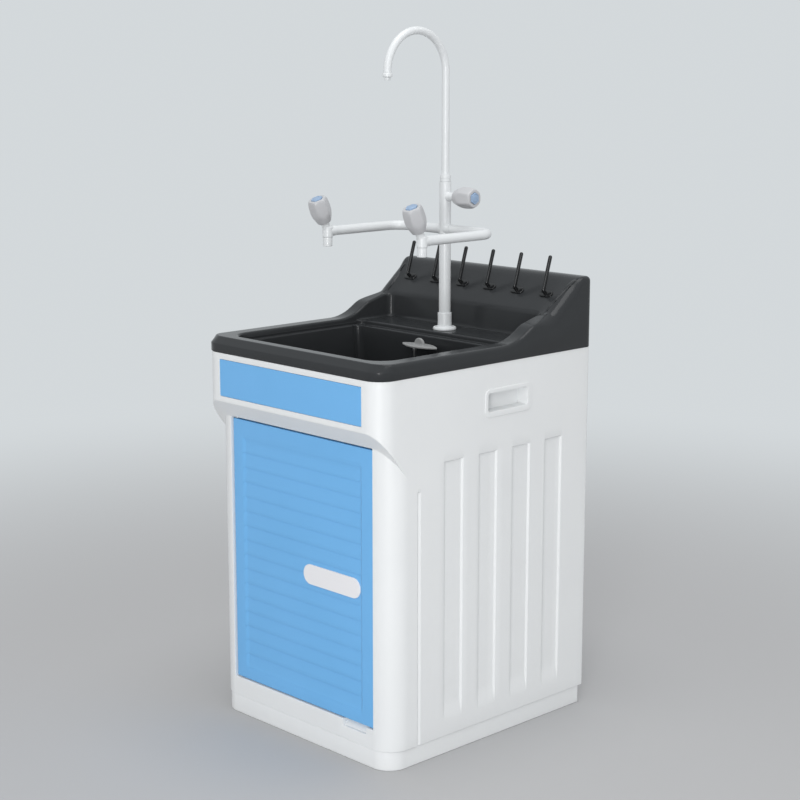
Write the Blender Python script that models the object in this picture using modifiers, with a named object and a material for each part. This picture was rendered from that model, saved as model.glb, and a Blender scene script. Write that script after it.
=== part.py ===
"""Free-standing laboratory sink unit: a moulded cabinet with a door, a black sink top with a drying
board, and a three-way laboratory tap. Metres, +Z up. The front faces -Y and +X is the viewer's right.
The origin is on the floor, at the middle of the footprint."""

import math

import bmesh
import bpy
from mathutils import Matrix, Vector

# Fits
SEAT_GAP = 0.0003
PANEL_GAP = 0.0006
TURNING_GAP = 0.0004

# Sink top, outside
TOP_WIDTH = 0.525
TOP_DEPTH = 0.600
RIM_HEIGHT = 0.804
SKIRT_HEIGHT = 0.031
TOP_FRONT_RADIUS = 0.040
TOP_EDGE_RADIUS = 0.010
SINK_WALL = 0.006

# Sink top, raised back. Distances along Y are taken from the rear face, heights from the rim.
SWEEP_START = 0.245
SWEEP_END = 0.155
SWEEP_RISE = 0.036
BOARD_FOOT = 0.108
BOARD_FOOT_RISE = 0.046
BOARD_HEAD = 0.032
BOARD_HEAD_RISE = 0.113
BACK_RISE = 0.117
BACK_LEAN = 0.006

# Bowl and tap deck
SIDE_RIM_WIDTH = 0.0405
FRONT_RIM_WIDTH = 0.039
DECK_DROP = 0.007
DECK_REAR = 0.109
DECK_DEPTH = 0.090
LEDGE_DROP = 0.016
LEDGE_WIDTH = 0.006
BOWL_DEPTH = 0.205
BOWL_SIDE_DRAFT = 0.020
BOWL_FRONT_DRAFT = 0.036
BOWL_REAR_DRAFT = 0.010
BOWL_FRONT_RADIUS = 0.036
BOWL_REAR_RADIUS = 0.016

# Cabinet
SIDE_OVERHANG = 0.002
FRONT_OVERHANG = 0.0005
REAR_OVERHANG = 0.003
BODY_SETBACK = 0.0275
UPPER_BOX_HEIGHT = 0.100
SHOULDER_HEIGHT = 0.034
SHOULDER_ROLL = 0.008
UPPER_CORNER_RADIUS = 0.040
LOWER_CORNER_RADIUS = 0.050
FRAME_WALL = 0.006
FRAME_SIDE_DEPTH = 0.073
PANEL_WALL = 0.008
PLINTH_HEIGHT = 0.039
PLINTH_INSET = 0.005
PLINTH_WALL = 0.005
PLINTH_REAR_INSET = 0.006

# Side panels. Positions along Y are taken from the middle of the unit.
CHANNEL_COUNT = 4
CHANNEL_WIDTH = 0.049
CHANNEL_PITCH = 0.0965
CHANNEL_MIDDLE = 0.0435
CHANNEL_RISE = 0.031
CHANNEL_HEIGHT = 0.527
CHANNEL_DEPTH = 0.004
CHANNEL_SLOPE = 0.003
SEAM_HEIGHT = 0.510
SEAM_WIDTH = 0.004
SEAM_DEPTH = 0.0025
GRIP_MIDDLE = 0.0455
GRIP_DROP = 0.078
GRIP_WIDTH = 0.105
GRIP_HEIGHT = 0.039
GRIP_DEPTH = 0.018
GRIP_WALL = 0.002
GRIP_BORDER = 0.007
GRIP_PROUD = 0.0015
GRIP_RADIUS = 0.009

# Fascia
FASCIA_MARGIN = 0.050
FASCIA_HEIGHT = 0.075
FASCIA_DROP = 0.013
FASCIA_THICKNESS = 0.0032
FASCIA_RADIUS = 0.003

# Door
DOOR_MARGIN = 0.0495
DOOR_GAP = 0.002
DOOR_THICKNESS = 0.022
DOOR_RECESS = 0.0035
DOOR_SKIN = 0.003
DOOR_COVER = 0.003
DOOR_STILE = 0.012
DOOR_RAIL = 0.016
DOOR_EDGE_RADIUS = 0.002
SILL_HEIGHT = 0.040
SURROUND_DEPTH = 0.034
SURROUND_WALL = 0.006
BORDER_SIDE = 0.035
BORDER_TOP = 0.040
BORDER_BOTTOM = 0.024
SLAT_COUNT = 16
SLAT_RECESS = 0.0045
SLAT_STEP = 0.0018
PIVOT_INSET = 0.007
HINGE_PIN_RADIUS = 0.003
HINGE_PIN_REACH = 0.012
HINGE_HEAD_RADIUS = 0.006
HINGE_HEAD = 0.003
LABEL_LENGTH = 0.166
LABEL_HEIGHT = 0.041
LABEL_RISE = 0.251
LABEL_MARGIN = 0.003
NOTCH_WIDTH = 0.068
NOTCH_HEIGHT = 0.014
NOTCH_DEPTH = 0.015
NOTCH_SLOPE = 0.006
NOTCH_INSET = 0.018
NOTCH_WALL = 0.004
CATCH_HEIGHT = 0.046
CATCH_WIDTH = 0.016
CATCH_DEPTH = 0.010
CATCH_EDGE = 0.0008
STRIKE_THICKNESS = 0.0012
STRIKE_INSET = 0.006

# Back panel
SERVICE_WIDTH = 0.180
SERVICE_HEIGHT = 0.130
SERVICE_RISE = 0.030
SERVICE_RADIUS = 0.020

# Waste fittings
DRAIN_FORWARD = 0.055
DRAIN_BORE = 0.0165
DRAIN_BODY = 0.0225
DRAIN_FLANGE = 0.031
DRAIN_FLANGE_HEIGHT = 0.003
DRAIN_FLANGE_EDGE = 0.002
DRAIN_BODY_LENGTH = 0.046
DRAIN_SEAT_TAPER = 0.002
NUT_RADIUS = 0.032
NUT_HEIGHT = 0.012
NUT_SIDES = 6
PIPE_WALL = 0.003
TAIL_RADIUS = 0.015
TAIL_COLLAR = 0.006
TAIL_LENGTH = 0.130
TRAP_DROP = 0.050
TRAP_RADIUS = 0.033
TRAP_HEAD_HEIGHT = 0.042
TRAP_CUP_HEIGHT = 0.080
TRAP_CUP_LIP = 0.012
TRAP_CUP_INSET = 0.002
TRAP_CUP_ROUND = 0.014
TRAP_OUTLET_REACH = 0.120

# Lift-out plug
PLUG_DEPTH = 0.013
PLUG_LID = 0.003
ROD_RADIUS = 0.003
HANDLE_BELOW_RIM = 0.036
HANDLE_LENGTH = 0.103
HANDLE_WIDTH = 0.040
HANDLE_THICKNESS = 0.005
HANDLE_OFFSET = 0.015
TAB_RADIUS = 0.014
TAB_THICKNESS = 0.006

# Drying pegs
PEG_COUNT = 6
PEG_END_MARGIN = 0.06375
PEG_UP_BOARD = 0.0493
PEG_RADIUS = 0.004
PEG_NECK_FORWARD = 0.0093
PEG_NECK_RISE = 0.0078
PEG_ROD = 0.070
PEG_LEAN = math.radians(17)
PEG_FOOT_LENGTH = 0.034
PEG_FOOT_WIDTH = 0.016
PEG_FOOT_HEIGHT = 0.003
PEG_STUB = 0.008

# Tap
TAP_BEHIND_DECK_EDGE = 0.034
TAP_FLANGE_RADIUS = 0.0245
TAP_FLANGE_HEIGHT = 0.007
TAP_FLANGE_EDGE = 0.002
TAP_SLEEVE_RADIUS = 0.0146
TAP_SLEEVE_HEIGHT = 0.029
TAP_SHANK_RADIUS = 0.0105
TAP_SHANK_LENGTH = 0.070
TAP_NUT_RADIUS = 0.021
TAP_NUT_HEIGHT = 0.010
COLUMN_RADIUS = 0.01225
COLUMN_HEIGHT = 0.309
SPOUT_SOCKET = 0.016
BRANCH_HEIGHT = 0.211
BRANCH_RADIUS = 0.010
BRANCH_SPREAD = 0.138
BRANCH_FORWARD = 0.204
BRANCH_BEND = 0.035
BOSS_RADIUS = 0.0108
BOSS_LENGTH = 0.018
UPPER_VALVE_DROP = 0.030
UPPER_NECK_LENGTH = 0.031
VALVE_BELOW = 0.012
VALVE_ABOVE = 0.011
NECK_RADIUS = 0.0085
NECK_LENGTH = 0.020
OUTLET_RADIUS = 0.0098
OUTLET_LENGTH = 0.019
OUTLET_TIP = 0.0015
OUTLET_TIP_RADIUS = 0.0088
COLLAR_RADIUS = 0.0113
COLLAR_HEIGHT = 0.015
SPOUT_RADIUS = 0.008
SPOUT_RISE = 0.2085
SPOUT_BEND = 0.0825
SPOUT_TAIL = 0.001
NOZZLE_RADIUS = 0.010
NOZZLE_HEIGHT = 0.008
NOZZLE_EDGE = 0.0015
NOZZLE_TIP_RADIUS = 0.006
NOZZLE_TIP = 0.006

# Valve knobs
KNOB_TILT = math.radians(23)
SPINDLE_RADIUS = 0.004
SPINDLE_SEAT = 0.006
SPINDLE_REACH = 0.020
KNOB_LENGTH = 0.053
KNOB_FLARE = 0.022
KNOB_END_TAPER = 0.016
KNOB_FOOT_RADIUS = 0.0140
KNOB_RADIUS = 0.0210
KNOB_END_RADIUS = 0.0195
KNOB_LOBES = 6
KNOB_LOBE_SHARE = 0.05
CAP_RADIUS = 0.0120
CAP_DEPTH = 0.003
CAP_PROUD = 0.002
CAP_EDGE = 0.001

# Facets
ROUND_SIDES = 24
SMALL_SIDES = 14
TUBE_STEPS = 3
PEG_STEPS = 2
LOBE_SIDES = 6
ARC_STEPS = 6
SPOUT_STEPS = 18
SWEEP_STEPS = 8
EDGE_SEGMENTS = 3

# Places worked out from the sizes above
FRONT = -TOP_DEPTH / 2
REAR = TOP_DEPTH / 2
SKIRT_BOTTOM = RIM_HEIGHT - SKIRT_HEIGHT
DECK_LEVEL = RIM_HEIGHT - DECK_DROP
LEDGE_LEVEL = RIM_HEIGHT - LEDGE_DROP
BOWL_FLOOR = RIM_HEIGHT - BOWL_DEPTH
DECK_UNDERSIDE = LEDGE_LEVEL - SINK_WALL
BACK_TOP = RIM_HEIGHT + BACK_RISE
BOARD_FOOT_Y = REAR - BOARD_FOOT
BOARD_FOOT_Z = RIM_HEIGHT + BOARD_FOOT_RISE
BOARD_HEAD_Y = REAR - BOARD_HEAD
BOARD_HEAD_Z = RIM_HEIGHT + BOARD_HEAD_RISE
BOARD_ANGLE = math.atan2(BOARD_HEAD_Z - BOARD_FOOT_Z, BOARD_HEAD_Y - BOARD_FOOT_Y)
MOUTH_HALF = TOP_WIDTH / 2 - SIDE_RIM_WIDTH
MOUTH_FRONT = FRONT + FRONT_RIM_WIDTH
MOUTH_REAR = REAR - DECK_REAR
DECK_EDGE = MOUTH_REAR - DECK_DEPTH
BOARD_JOINT = MOUTH_REAR + SINK_WALL * 1.5
CABINET_HALF = TOP_WIDTH / 2 - SIDE_OVERHANG
CABINET_TOP = SKIRT_BOTTOM - SEAT_GAP
CABINET_REAR = REAR - REAR_OVERHANG
UPPER_FRONT = FRONT + FRONT_OVERHANG
LOWER_FRONT = FRONT + BODY_SETBACK
UPPER_BOX_LOW = SKIRT_BOTTOM - UPPER_BOX_HEIGHT
PANEL_LOW = PLINTH_HEIGHT + SEAT_GAP
FRAME_REAR = LOWER_FRONT + FRAME_SIDE_DEPTH
OPENING_LOW = PLINTH_HEIGHT + SILL_HEIGHT
OPENING_HIGH = UPPER_BOX_LOW - SHOULDER_HEIGHT
DOOR_HALF = CABINET_HALF - DOOR_MARGIN
FASCIA_HALF = CABINET_HALF - FASCIA_MARGIN
OPENING_HALF = DOOR_HALF + DOOR_GAP
DOOR_LOW = OPENING_LOW + DOOR_GAP
DOOR_HIGH = OPENING_HIGH - DOOR_GAP
DOOR_FACE = LOWER_FRONT + DOOR_RECESS
DOOR_REAR = DOOR_FACE + DOOR_THICKNESS
PIVOT_X = -DOOR_HALF + PIVOT_INSET
PIVOT_Y = DOOR_FACE + PIVOT_INSET
FASCIA_TOP = CABINET_TOP - FASCIA_DROP
DRAIN_Y = DECK_EDGE - DRAIN_FORWARD
DRAIN_TOP = BOWL_FLOOR + SEAT_GAP
TAP_Y = DECK_EDGE + TAP_BEHIND_DECK_EDGE
COLUMN_FOOT = DECK_LEVEL + TAP_FLANGE_HEIGHT
COLUMN_TOP = DECK_LEVEL + COLUMN_HEIGHT
BRANCH_Z = DECK_LEVEL + BRANCH_HEIGHT
UPPER_VALVE_Z = COLUMN_TOP - UPPER_VALVE_DROP
VALVE_Y = TAP_Y - BRANCH_FORWARD
PEG_PITCH = (TOP_WIDTH - 2 * PEG_END_MARGIN) / (PEG_COUNT - 1)


def clear_scene():
    for obj in list(bpy.data.objects):
        bpy.data.objects.remove(obj, do_unlink=True)


def new_collection(name):
    collection = bpy.data.collections.new(name)
    bpy.context.scene.collection.children.link(collection)
    return collection


clear_scene()
PARTS = new_collection("laboratory_sink_unit")
CUTTERS = new_collection("cutters")


def finish(name, colour, roughness, metallic=0.0):
    material = bpy.data.materials.new(name)
    material.use_nodes = True
    shader = material.node_tree.nodes["Principled BSDF"]
    shader.inputs["Base Color"].default_value = (*colour, 1.0)
    shader.inputs["Roughness"].default_value = roughness
    shader.inputs["Metallic"].default_value = metallic
    return material


WHITE = finish("white_moulded_plastic", (0.78, 0.79, 0.80), 0.45)
BLUE = finish("blue_moulded_plastic", (0.15, 0.40, 0.71), 0.45)
BLACK = finish("black_sink_plastic", (0.035, 0.038, 0.041), 0.35)
LABEL = finish("label_plastic", (0.84, 0.85, 0.86), 0.40)
TAP_COAT = finish("white_tap_coating", (0.82, 0.83, 0.85), 0.28)
KNOB = finish("grey_knob_plastic", (0.36, 0.37, 0.37), 0.40)
CAP = finish("blue_cap_plastic", (0.17, 0.38, 0.68), 0.38)
STEEL = finish("stainless_steel", (0.55, 0.56, 0.57), 0.30, 1.0)
GREY = finish("light_grey_plastic", (0.52, 0.53, 0.53), 0.42)
RUBBER = finish("black_rubber", (0.03, 0.03, 0.03), 0.70)


def place(name, mesh, material, collection=PARTS):
    obj = bpy.data.objects.new(name, mesh)
    collection.objects.link(obj)
    if material is not None:
        mesh.materials.append(material)
    return obj


def helper(obj):
    """Turns an object into a cutter: kept out of renders and drawn as a wire."""
    for collection in list(obj.users_collection):
        collection.objects.unlink(obj)
    CUTTERS.objects.link(obj)
    obj.hide_render = True
    obj.display_type = "WIRE"
    return obj


def evaluated_mesh(obj):
    bpy.context.view_layer.update()
    graph = bpy.context.evaluated_depsgraph_get()
    return bpy.data.meshes.new_from_object(obj.evaluated_get(graph))


def weld(mesh):
    work = bmesh.new()
    work.from_mesh(mesh)
    bmesh.ops.remove_doubles(work, verts=work.verts, dist=1e-6)
    bmesh.ops.recalc_face_normals(work, faces=work.faces)
    work.to_mesh(mesh)
    work.free()
    return mesh


def combine(target, other, operation):
    modifier = target.modifiers.new(operation.lower(), "BOOLEAN")
    modifier.operation = operation
    modifier.solver = "EXACT"
    modifier.object = helper(other)
    return target


def cut(target, *cutters):
    for cutter in cutters:
        combine(target, cutter, "DIFFERENCE")
    return target


def join(target, *others):
    for other in others:
        combine(target, other, "UNION")
    return target


def round_over(obj, width, segments, angle=math.radians(50)):
    modifier = obj.modifiers.new("round_over", "BEVEL")
    modifier.width = width
    modifier.segments = segments
    modifier.limit_method = "ANGLE"
    modifier.angle_limit = angle
    modifier.use_clamp_overlap = False
    return obj


def smooth(obj, angle=math.radians(35)):
    obj.data.shade_smooth()
    obj.data.set_sharp_from_angle(angle=angle)
    return obj


def box(name, low, high, material=None):
    size = Vector(high) - Vector(low)
    middle = (Vector(high) + Vector(low)) / 2
    work = bmesh.new()
    bmesh.ops.create_cube(work, matrix=Matrix.Translation(middle) @ Matrix.Diagonal((*size, 1.0)))
    mesh = bpy.data.meshes.new(name)
    work.to_mesh(mesh)
    work.free()
    return place(name, mesh, material)


def cylinder(name, radius, start, end, material=None, sides=ROUND_SIDES):
    start, end = Vector(start), Vector(end)
    turn = (end - start).to_track_quat("Z", "Y").to_matrix().to_4x4()
    work = bmesh.new()
    bmesh.ops.create_cone(
        work,
        cap_ends=True,
        segments=sides,
        radius1=radius,
        radius2=radius,
        depth=(end - start).length,
        matrix=Matrix.Translation((start + end) / 2) @ turn,
    )
    mesh = bpy.data.meshes.new(name)
    work.to_mesh(mesh)
    work.free()
    return smooth(place(name, mesh, material))


def ball(name, radius, middle):
    work = bmesh.new()
    bmesh.ops.create_uvsphere(
        work, u_segments=10, v_segments=5, radius=radius, matrix=Matrix.Translation(middle)
    )
    mesh = bpy.data.meshes.new(name)
    work.to_mesh(mesh)
    work.free()
    return place(name, mesh, None)


def fillet(corners, steps=ARC_STEPS):
    """The outline through corners given as (u, v, radius), each rounded by an arc of that radius."""
    points = []
    for index, (u, v, radius) in enumerate(corners):
        here = Vector((u, v))
        before = (Vector(corners[index - 1][:2]) - here).normalized()
        after = (Vector(corners[(index + 1) % len(corners)][:2]) - here).normalized()
        if radius <= 0:
            points.append(here)
            continue
        half = before.angle(after) / 2
        centre = here + (before + after).normalized() * radius / math.sin(half)
        first = here + before * radius / math.tan(half) - centre
        last = here + after * radius / math.tan(half) - centre
        start = math.atan2(first.y, first.x)
        sweep = math.atan2(first.cross(last), first.dot(last))
        for step in range(steps + 1):
            angle = start + sweep * step / steps
            points.append(centre + radius * Vector((math.cos(angle), math.sin(angle))))
    return points


def rectangle(low_u, high_u, low_v, high_v, radius=0.0):
    return plan_outline(low_u, high_u, low_v, high_v, radius, radius)


def plan_outline(low_u, high_u, low_v, high_v, low_radius, high_radius):
    """A rectangle with one corner radius along its low edge and another along its high edge."""
    return fillet(
        [
            (low_u, low_v, low_radius),
            (high_u, low_v, low_radius),
            (high_u, high_v, high_radius),
            (low_u, high_v, high_radius),
        ]
    )


def inset(points, distance):
    """A closed outline moved inwards by a distance, with its corners mitred."""
    points = [Vector(point) for point in points]
    area = sum(a.cross(b) for a, b in zip(points, points[1:] + points[:1]))
    turn = 1 if area > 0 else -1
    moved = []
    for index, here in enumerate(points):
        before = (here - points[index - 1]).normalized()
        after = (points[(index + 1) % len(points)] - here).normalized()
        first = Vector((-before.y, before.x)) * turn
        second = Vector((-after.y, after.x)) * turn
        moved.append(here + (first + second) * distance / (1 + first.dot(second)))
    return moved


AXIS_FRAMES = {
    "X": Matrix(((0, 0, 1, 0), (1, 0, 0, 0), (0, 1, 0, 0), (0, 0, 0, 1))),
    "Y": Matrix(((1, 0, 0, 0), (0, 0, -1, 0), (0, 1, 0, 0), (0, 0, 0, 1))),
    "Z": Matrix.Identity(4),
}


def prism(name, outline, axis, low, high, material=None):
    """A flat outline pulled along an axis from low to high. Along X it is drawn in Y and Z, along Y in
    X and Z, and along Z in X and Y."""
    curve = bpy.data.curves.new(name, "CURVE")
    curve.dimensions = "2D"
    curve.fill_mode = "BOTH"
    curve.extrude = (high - low) / 2
    spline = curve.splines.new("POLY")
    spline.points.add(len(outline) - 1)
    for point, (u, v) in zip(spline.points, outline):
        point.co = (u, v, 0.0, 1.0)
    spline.use_cyclic_u = True
    guide = bpy.data.objects.new(name, curve)
    CUTTERS.objects.link(guide)
    mesh = weld(evaluated_mesh(guide))
    bpy.data.objects.remove(guide, do_unlink=True)
    bpy.data.curves.remove(curve)
    middle = (low + high) / 2
    shift = {"X": (middle, 0, 0), "Y": (0, middle, 0), "Z": (0, 0, middle)}[axis]
    mesh.transform(Matrix.Translation(shift) @ AXIS_FRAMES[axis])
    return place(name, mesh, material)


def loft(name, rings, material=None):
    """A closed solid through rings of equally many points, with a flat face at each end."""
    work = bmesh.new()
    levels = [[work.verts.new(point) for point in ring] for ring in rings]
    count = len(levels[0])
    for lower, upper in zip(levels, levels[1:]):
        for index in range(count):
            after = (index + 1) % count
            work.faces.new((lower[index], lower[after], upper[after], upper[index]))
    work.faces.new(levels[0])
    work.faces.new(levels[-1])
    bmesh.ops.recalc_face_normals(work, faces=work.faces)
    mesh = bpy.data.meshes.new(name)
    work.to_mesh(mesh)
    work.free()
    return place(name, mesh, material)


def turned(name, profile, material=None, ring=False, sides=ROUND_SIDES):
    """A turned piece about local Z. The profile of (radius, height) runs down its outer side. A ring's
    profile then comes back up its bore, and a cup's starts in the middle of its inner floor."""
    mesh = bpy.data.meshes.new(name)
    edges = [(index, index + 1) for index in range(len(profile) - 1)]
    if ring:
        edges.append((len(profile) - 1, 0))
    mesh.from_pydata([(radius, 0.0, height) for radius, height in profile], edges, [])
    obj = place(name, mesh, material)
    modifier = obj.modifiers.new("turn", "SCREW")
    modifier.axis = "Z"
    modifier.steps = sides
    modifier.render_steps = sides
    modifier.use_merge_vertices = True
    modifier.merge_threshold = 1e-5
    modifier.use_smooth_shade = True
    return obj


def tube(name, points, radius, material=None, resolution=TUBE_STEPS):
    """A round bar along a path, kept as a curve with closed ends."""
    curve = bpy.data.curves.new(name, "CURVE")
    curve.dimensions = "3D"
    curve.bevel_depth = radius
    curve.bevel_resolution = resolution
    curve.use_fill_caps = True
    spline = curve.splines.new("POLY")
    spline.points.add(len(points) - 1)
    for point, spot in zip(spline.points, points):
        point.co = (*spot, 1.0)
    obj = bpy.data.objects.new(name, curve)
    PARTS.objects.link(obj)
    if material is not None:
        curve.materials.append(material)
    return obj


def as_mesh(obj, material=None):
    """The same piece as one closed mesh, for a Boolean or to share between objects."""
    name = obj.name
    mesh = weld(evaluated_mesh(obj))
    frame = obj.matrix_world.copy()
    bpy.data.objects.remove(obj, do_unlink=True)
    mesh.materials.clear()
    solid = place(name, mesh, material)
    solid.matrix_world = frame
    return solid


def arc(centre, start, end, axis, angle, steps):
    """Points along the arc that carries start about an axis through centre, ending at end."""
    reach = start - centre
    turns = [Matrix.Rotation(angle * step / steps, 3, axis) for step in range(1, steps)]
    return [start, *(centre + turn @ reach for turn in turns), end]


def joint_axis(name, location):
    """An empty on a joint's axis, to carry the pieces that move together."""
    empty = bpy.data.objects.new(name, None)
    PARTS.objects.link(empty)
    empty.location = location
    bpy.context.view_layer.update()
    return empty


def hang(empty, *pieces):
    """Parents pieces to a joint's empty and leaves them where they are."""
    for piece in pieces:
        piece.parent = empty
        piece.matrix_parent_inverse = empty.matrix_world.inverted()


def ease(share):
    return share * share * (3 - 2 * share)


def across(side, inner, outer):
    """Two X planes on one side, in rising order, from their distances to the middle plane."""
    return sorted((side * inner, side * outer))


# Sink top


def side_profile(bottom):
    """The sink top's outline seen from the side, as (y, z), down to a given level."""
    points = [(FRONT, bottom), (FRONT, RIM_HEIGHT)]
    for step in range(SWEEP_STEPS + 1):
        share = step / SWEEP_STEPS
        y = REAR - SWEEP_START + (SWEEP_START - SWEEP_END) * share
        points.append((y, RIM_HEIGHT + SWEEP_RISE * ease(share)))
    points.append((BOARD_FOOT_Y, BOARD_FOOT_Z))
    points.append((BOARD_HEAD_Y, BOARD_HEAD_Z))
    points.append((REAR - BACK_LEAN, BACK_TOP))
    points.append((REAR, SKIRT_BOTTOM))
    points.append((REAR, bottom))
    return points


def bowl_rings(grow):
    """Rings of the bowl from its floor to its ledge. grow is the wall added outside the cavity."""
    rings = []
    for level, share in ((BOWL_FLOOR - grow, 1.0), (LEDGE_LEVEL + SEAT_GAP, 0.0)):
        half = MOUTH_HALF - LEDGE_WIDTH - BOWL_SIDE_DRAFT * share + grow
        front = MOUTH_FRONT + LEDGE_WIDTH + BOWL_FRONT_DRAFT * share - grow
        rear = DECK_EDGE - LEDGE_WIDTH - BOWL_REAR_DRAFT * share + grow
        front_radius, rear_radius = BOWL_FRONT_RADIUS + grow, BOWL_REAR_RADIUS + grow
        outline = plan_outline(-half, half, front, rear, front_radius, rear_radius)
        rings.append([(u, v, level) for u, v in outline])
    return rings


def mouth_prism(name, rear, low, high, grow=0.0):
    """The opening in the rim as a prism from low to high, widened by grow on every side."""
    half = MOUTH_HALF + grow
    front_radius = BOWL_FRONT_RADIUS + LEDGE_WIDTH + grow
    rear_radius = BOWL_REAR_RADIUS + grow
    outline = plan_outline(-half, half, MOUTH_FRONT - grow, rear + grow, front_radius, rear_radius)
    return prism(name, outline, "Z", low, high)


def board_point(up_board, off_board=0.0):
    """A point on the middle line of the drying board, measured up its slope and off its face."""
    along = Vector((0, math.cos(BOARD_ANGLE), math.sin(BOARD_ANGLE)))
    off = Vector((0, -math.sin(BOARD_ANGLE), math.cos(BOARD_ANGLE)))
    return Vector((0, BOARD_FOOT_Y, BOARD_FOOT_Z)) + along * up_board + off * off_board


def peg_places():
    first = -PEG_PITCH * (PEG_COUNT - 1) / 2
    return [Vector((first + PEG_PITCH * index, 0, 0)) for index in range(PEG_COUNT)]


def make_hollow():
    """The space under the rim, the tap deck and the drying board."""
    half = TOP_WIDTH / 2
    below = SKIRT_BOTTOM - TOP_EDGE_RADIUS
    high = BACK_TOP + SINK_WALL
    profile = inset(side_profile(below - SINK_WALL), SINK_WALL)
    hollow = prism("underside_hollow", profile, "X", SINK_WALL - half, half - SINK_WALL)
    plan = plan_outline(-half, half, FRONT, REAR, TOP_FRONT_RADIUS, 0.0)
    inside = prism("hollow_plan", inset(plan, SINK_WALL), "Z", below - SINK_WALL, high)
    combine(hollow, inside, "INTERSECT")
    return cut(hollow, mouth_prism("mouth_keep", MOUTH_REAR, DECK_UNDERSIDE, high, SINK_WALL))


def top_shell(name):
    """The sink top from its front rim to its rear face, hollow underneath and with no openings yet."""
    half = TOP_WIDTH / 2
    below = SKIRT_BOTTOM - TOP_EDGE_RADIUS * 2
    high = BACK_TOP + SINK_WALL
    top = prism(name, side_profile(below), "X", -half, half, BLACK)
    plan = plan_outline(-half, half, FRONT, REAR, TOP_FRONT_RADIUS, 0.0)
    combine(top, prism("top_plan", plan, "Z", below - SINK_WALL, high), "INTERSECT")
    round_over(top, TOP_EDGE_RADIUS, EDGE_SEGMENTS)
    trim_low = (-TOP_WIDTH, -TOP_DEPTH, below - SINK_WALL)
    cut(top, box("skirt_trim", trim_low, (TOP_WIDTH, TOP_DEPTH, SKIRT_BOTTOM)))
    return cut(top, make_hollow())


def make_sink_top():
    """The rim, the tap deck and the wall behind it, up to the joint with the drying board."""
    top = top_shell("sink_top")
    mouth = mouth_prism("mouth", MOUTH_REAR, DECK_LEVEL, BACK_TOP + SINK_WALL)
    rebate = mouth_prism("rebate", DECK_EDGE, LEDGE_LEVEL, DECK_LEVEL + SINK_WALL)
    tap_hole = cylinder(
        "tap_hole",
        TAP_SHANK_RADIUS + SEAT_GAP,
        (0, TAP_Y, DECK_UNDERSIDE - SINK_WALL),
        (0, TAP_Y, DECK_LEVEL + SINK_WALL),
    )
    cut(top, mouth, rebate, loft("bowl_cavity", bowl_rings(0.0)), tap_hole)
    board_side = box("board_side", (-TOP_WIDTH, BOARD_JOINT, 0), (TOP_WIDTH, TOP_DEPTH, BACK_TOP * 2))
    return smooth(cut(top, board_side))


def make_drying_board():
    """The raised back behind the joint: the sloping board, its cheeks and the rear wall."""
    board = top_shell("drying_board")
    joint = BOARD_JOINT + SEAT_GAP
    cut(board, box("rim_side", (-TOP_WIDTH, -TOP_DEPTH, 0), (TOP_WIDTH, joint, BACK_TOP * 2)))
    for place_along in peg_places():
        inner = board_point(PEG_UP_BOARD, -SINK_WALL * 2) + place_along
        outer = board_point(PEG_UP_BOARD, SINK_WALL) + place_along
        cut(board, cylinder("peg_hole", PEG_RADIUS + SEAT_GAP, inner, outer, sides=SMALL_SIDES))
    return smooth(board)


def make_sink_bowl():
    """The bowl that hangs under the ledge and carries on the mouth's walls."""
    bowl = loft("sink_bowl", bowl_rings(SINK_WALL), BLACK)
    joint = DECK_UNDERSIDE - SEAT_GAP
    above = box("bowl_trim", (-TOP_WIDTH, -TOP_DEPTH, joint), (TOP_WIDTH, TOP_DEPTH, RIM_HEIGHT))
    drain_hole = cylinder(
        "drain_hole",
        DRAIN_BODY + SEAT_GAP,
        (0, DRAIN_Y, BOWL_FLOOR - SINK_WALL * 2),
        (0, DRAIN_Y, BOWL_FLOOR + SINK_WALL),
    )
    return smooth(cut(bowl, above, loft("bowl_cavity", bowl_rings(0.0)), drain_hole))


def make_pegs():
    base = board_point(PEG_UP_BOARD)
    normal = board_point(0, 1) - board_point(0)
    bend = Vector((0, -PEG_NECK_FORWARD, PEG_NECK_RISE))
    rise = Vector((0, math.sin(PEG_LEAN), math.cos(PEG_LEAN)))
    tip = bend + rise * PEG_ROD
    foot_top = normal * (SEAT_GAP + PEG_FOOT_HEIGHT)
    path = [-normal * PEG_STUB, foot_top, bend, tip]
    peg = as_mesh(tube("drying_peg", path, PEG_RADIUS, resolution=PEG_STEPS))
    foot = cylinder("peg_foot", PEG_FOOT_WIDTH / 2, normal * SEAT_GAP, foot_top)
    foot.data.transform(Matrix.Diagonal((PEG_FOOT_LENGTH / PEG_FOOT_WIDTH, 1, 1, 1)))
    join(peg, foot, ball("peg_tip", PEG_RADIUS, tip))
    pattern = as_mesh(peg, BLACK)
    for index, place_along in enumerate(peg_places()):
        obj = bpy.data.objects.new(f"drying_peg_{index + 1}", pattern.data)
        PARTS.objects.link(obj)
        obj.location = base + place_along
    bpy.data.objects.remove(pattern, do_unlink=True)


# Cabinet


def frame_outline(front, radius, wall):
    """Round the front moulding in plan from rear edge to rear edge, drawn in by a wall."""
    half = CABINET_HALF - wall
    corner = radius - wall
    path = [Vector((-half, FRAME_REAR, 0))]
    for side, start in ((-1, math.pi), (1, 1.5 * math.pi)):
        centre = Vector((side * (half - corner), front + wall + corner, 0))
        for step in range(ARC_STEPS + 1):
            angle = start + math.pi / 2 * step / ARC_STEPS
            path.append(centre + corner * Vector((math.cos(angle), math.sin(angle), 0)))
    path.append(Vector((half, FRAME_REAR, 0)))
    return path


def shoulder_level(y):
    """Height of the slanted shoulder at a place along Y. The corners turn back, so it runs down them."""
    return UPPER_BOX_LOW - (y - UPPER_FRONT) * SHOULDER_HEIGHT / (LOWER_FRONT - UPPER_FRONT)


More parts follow.
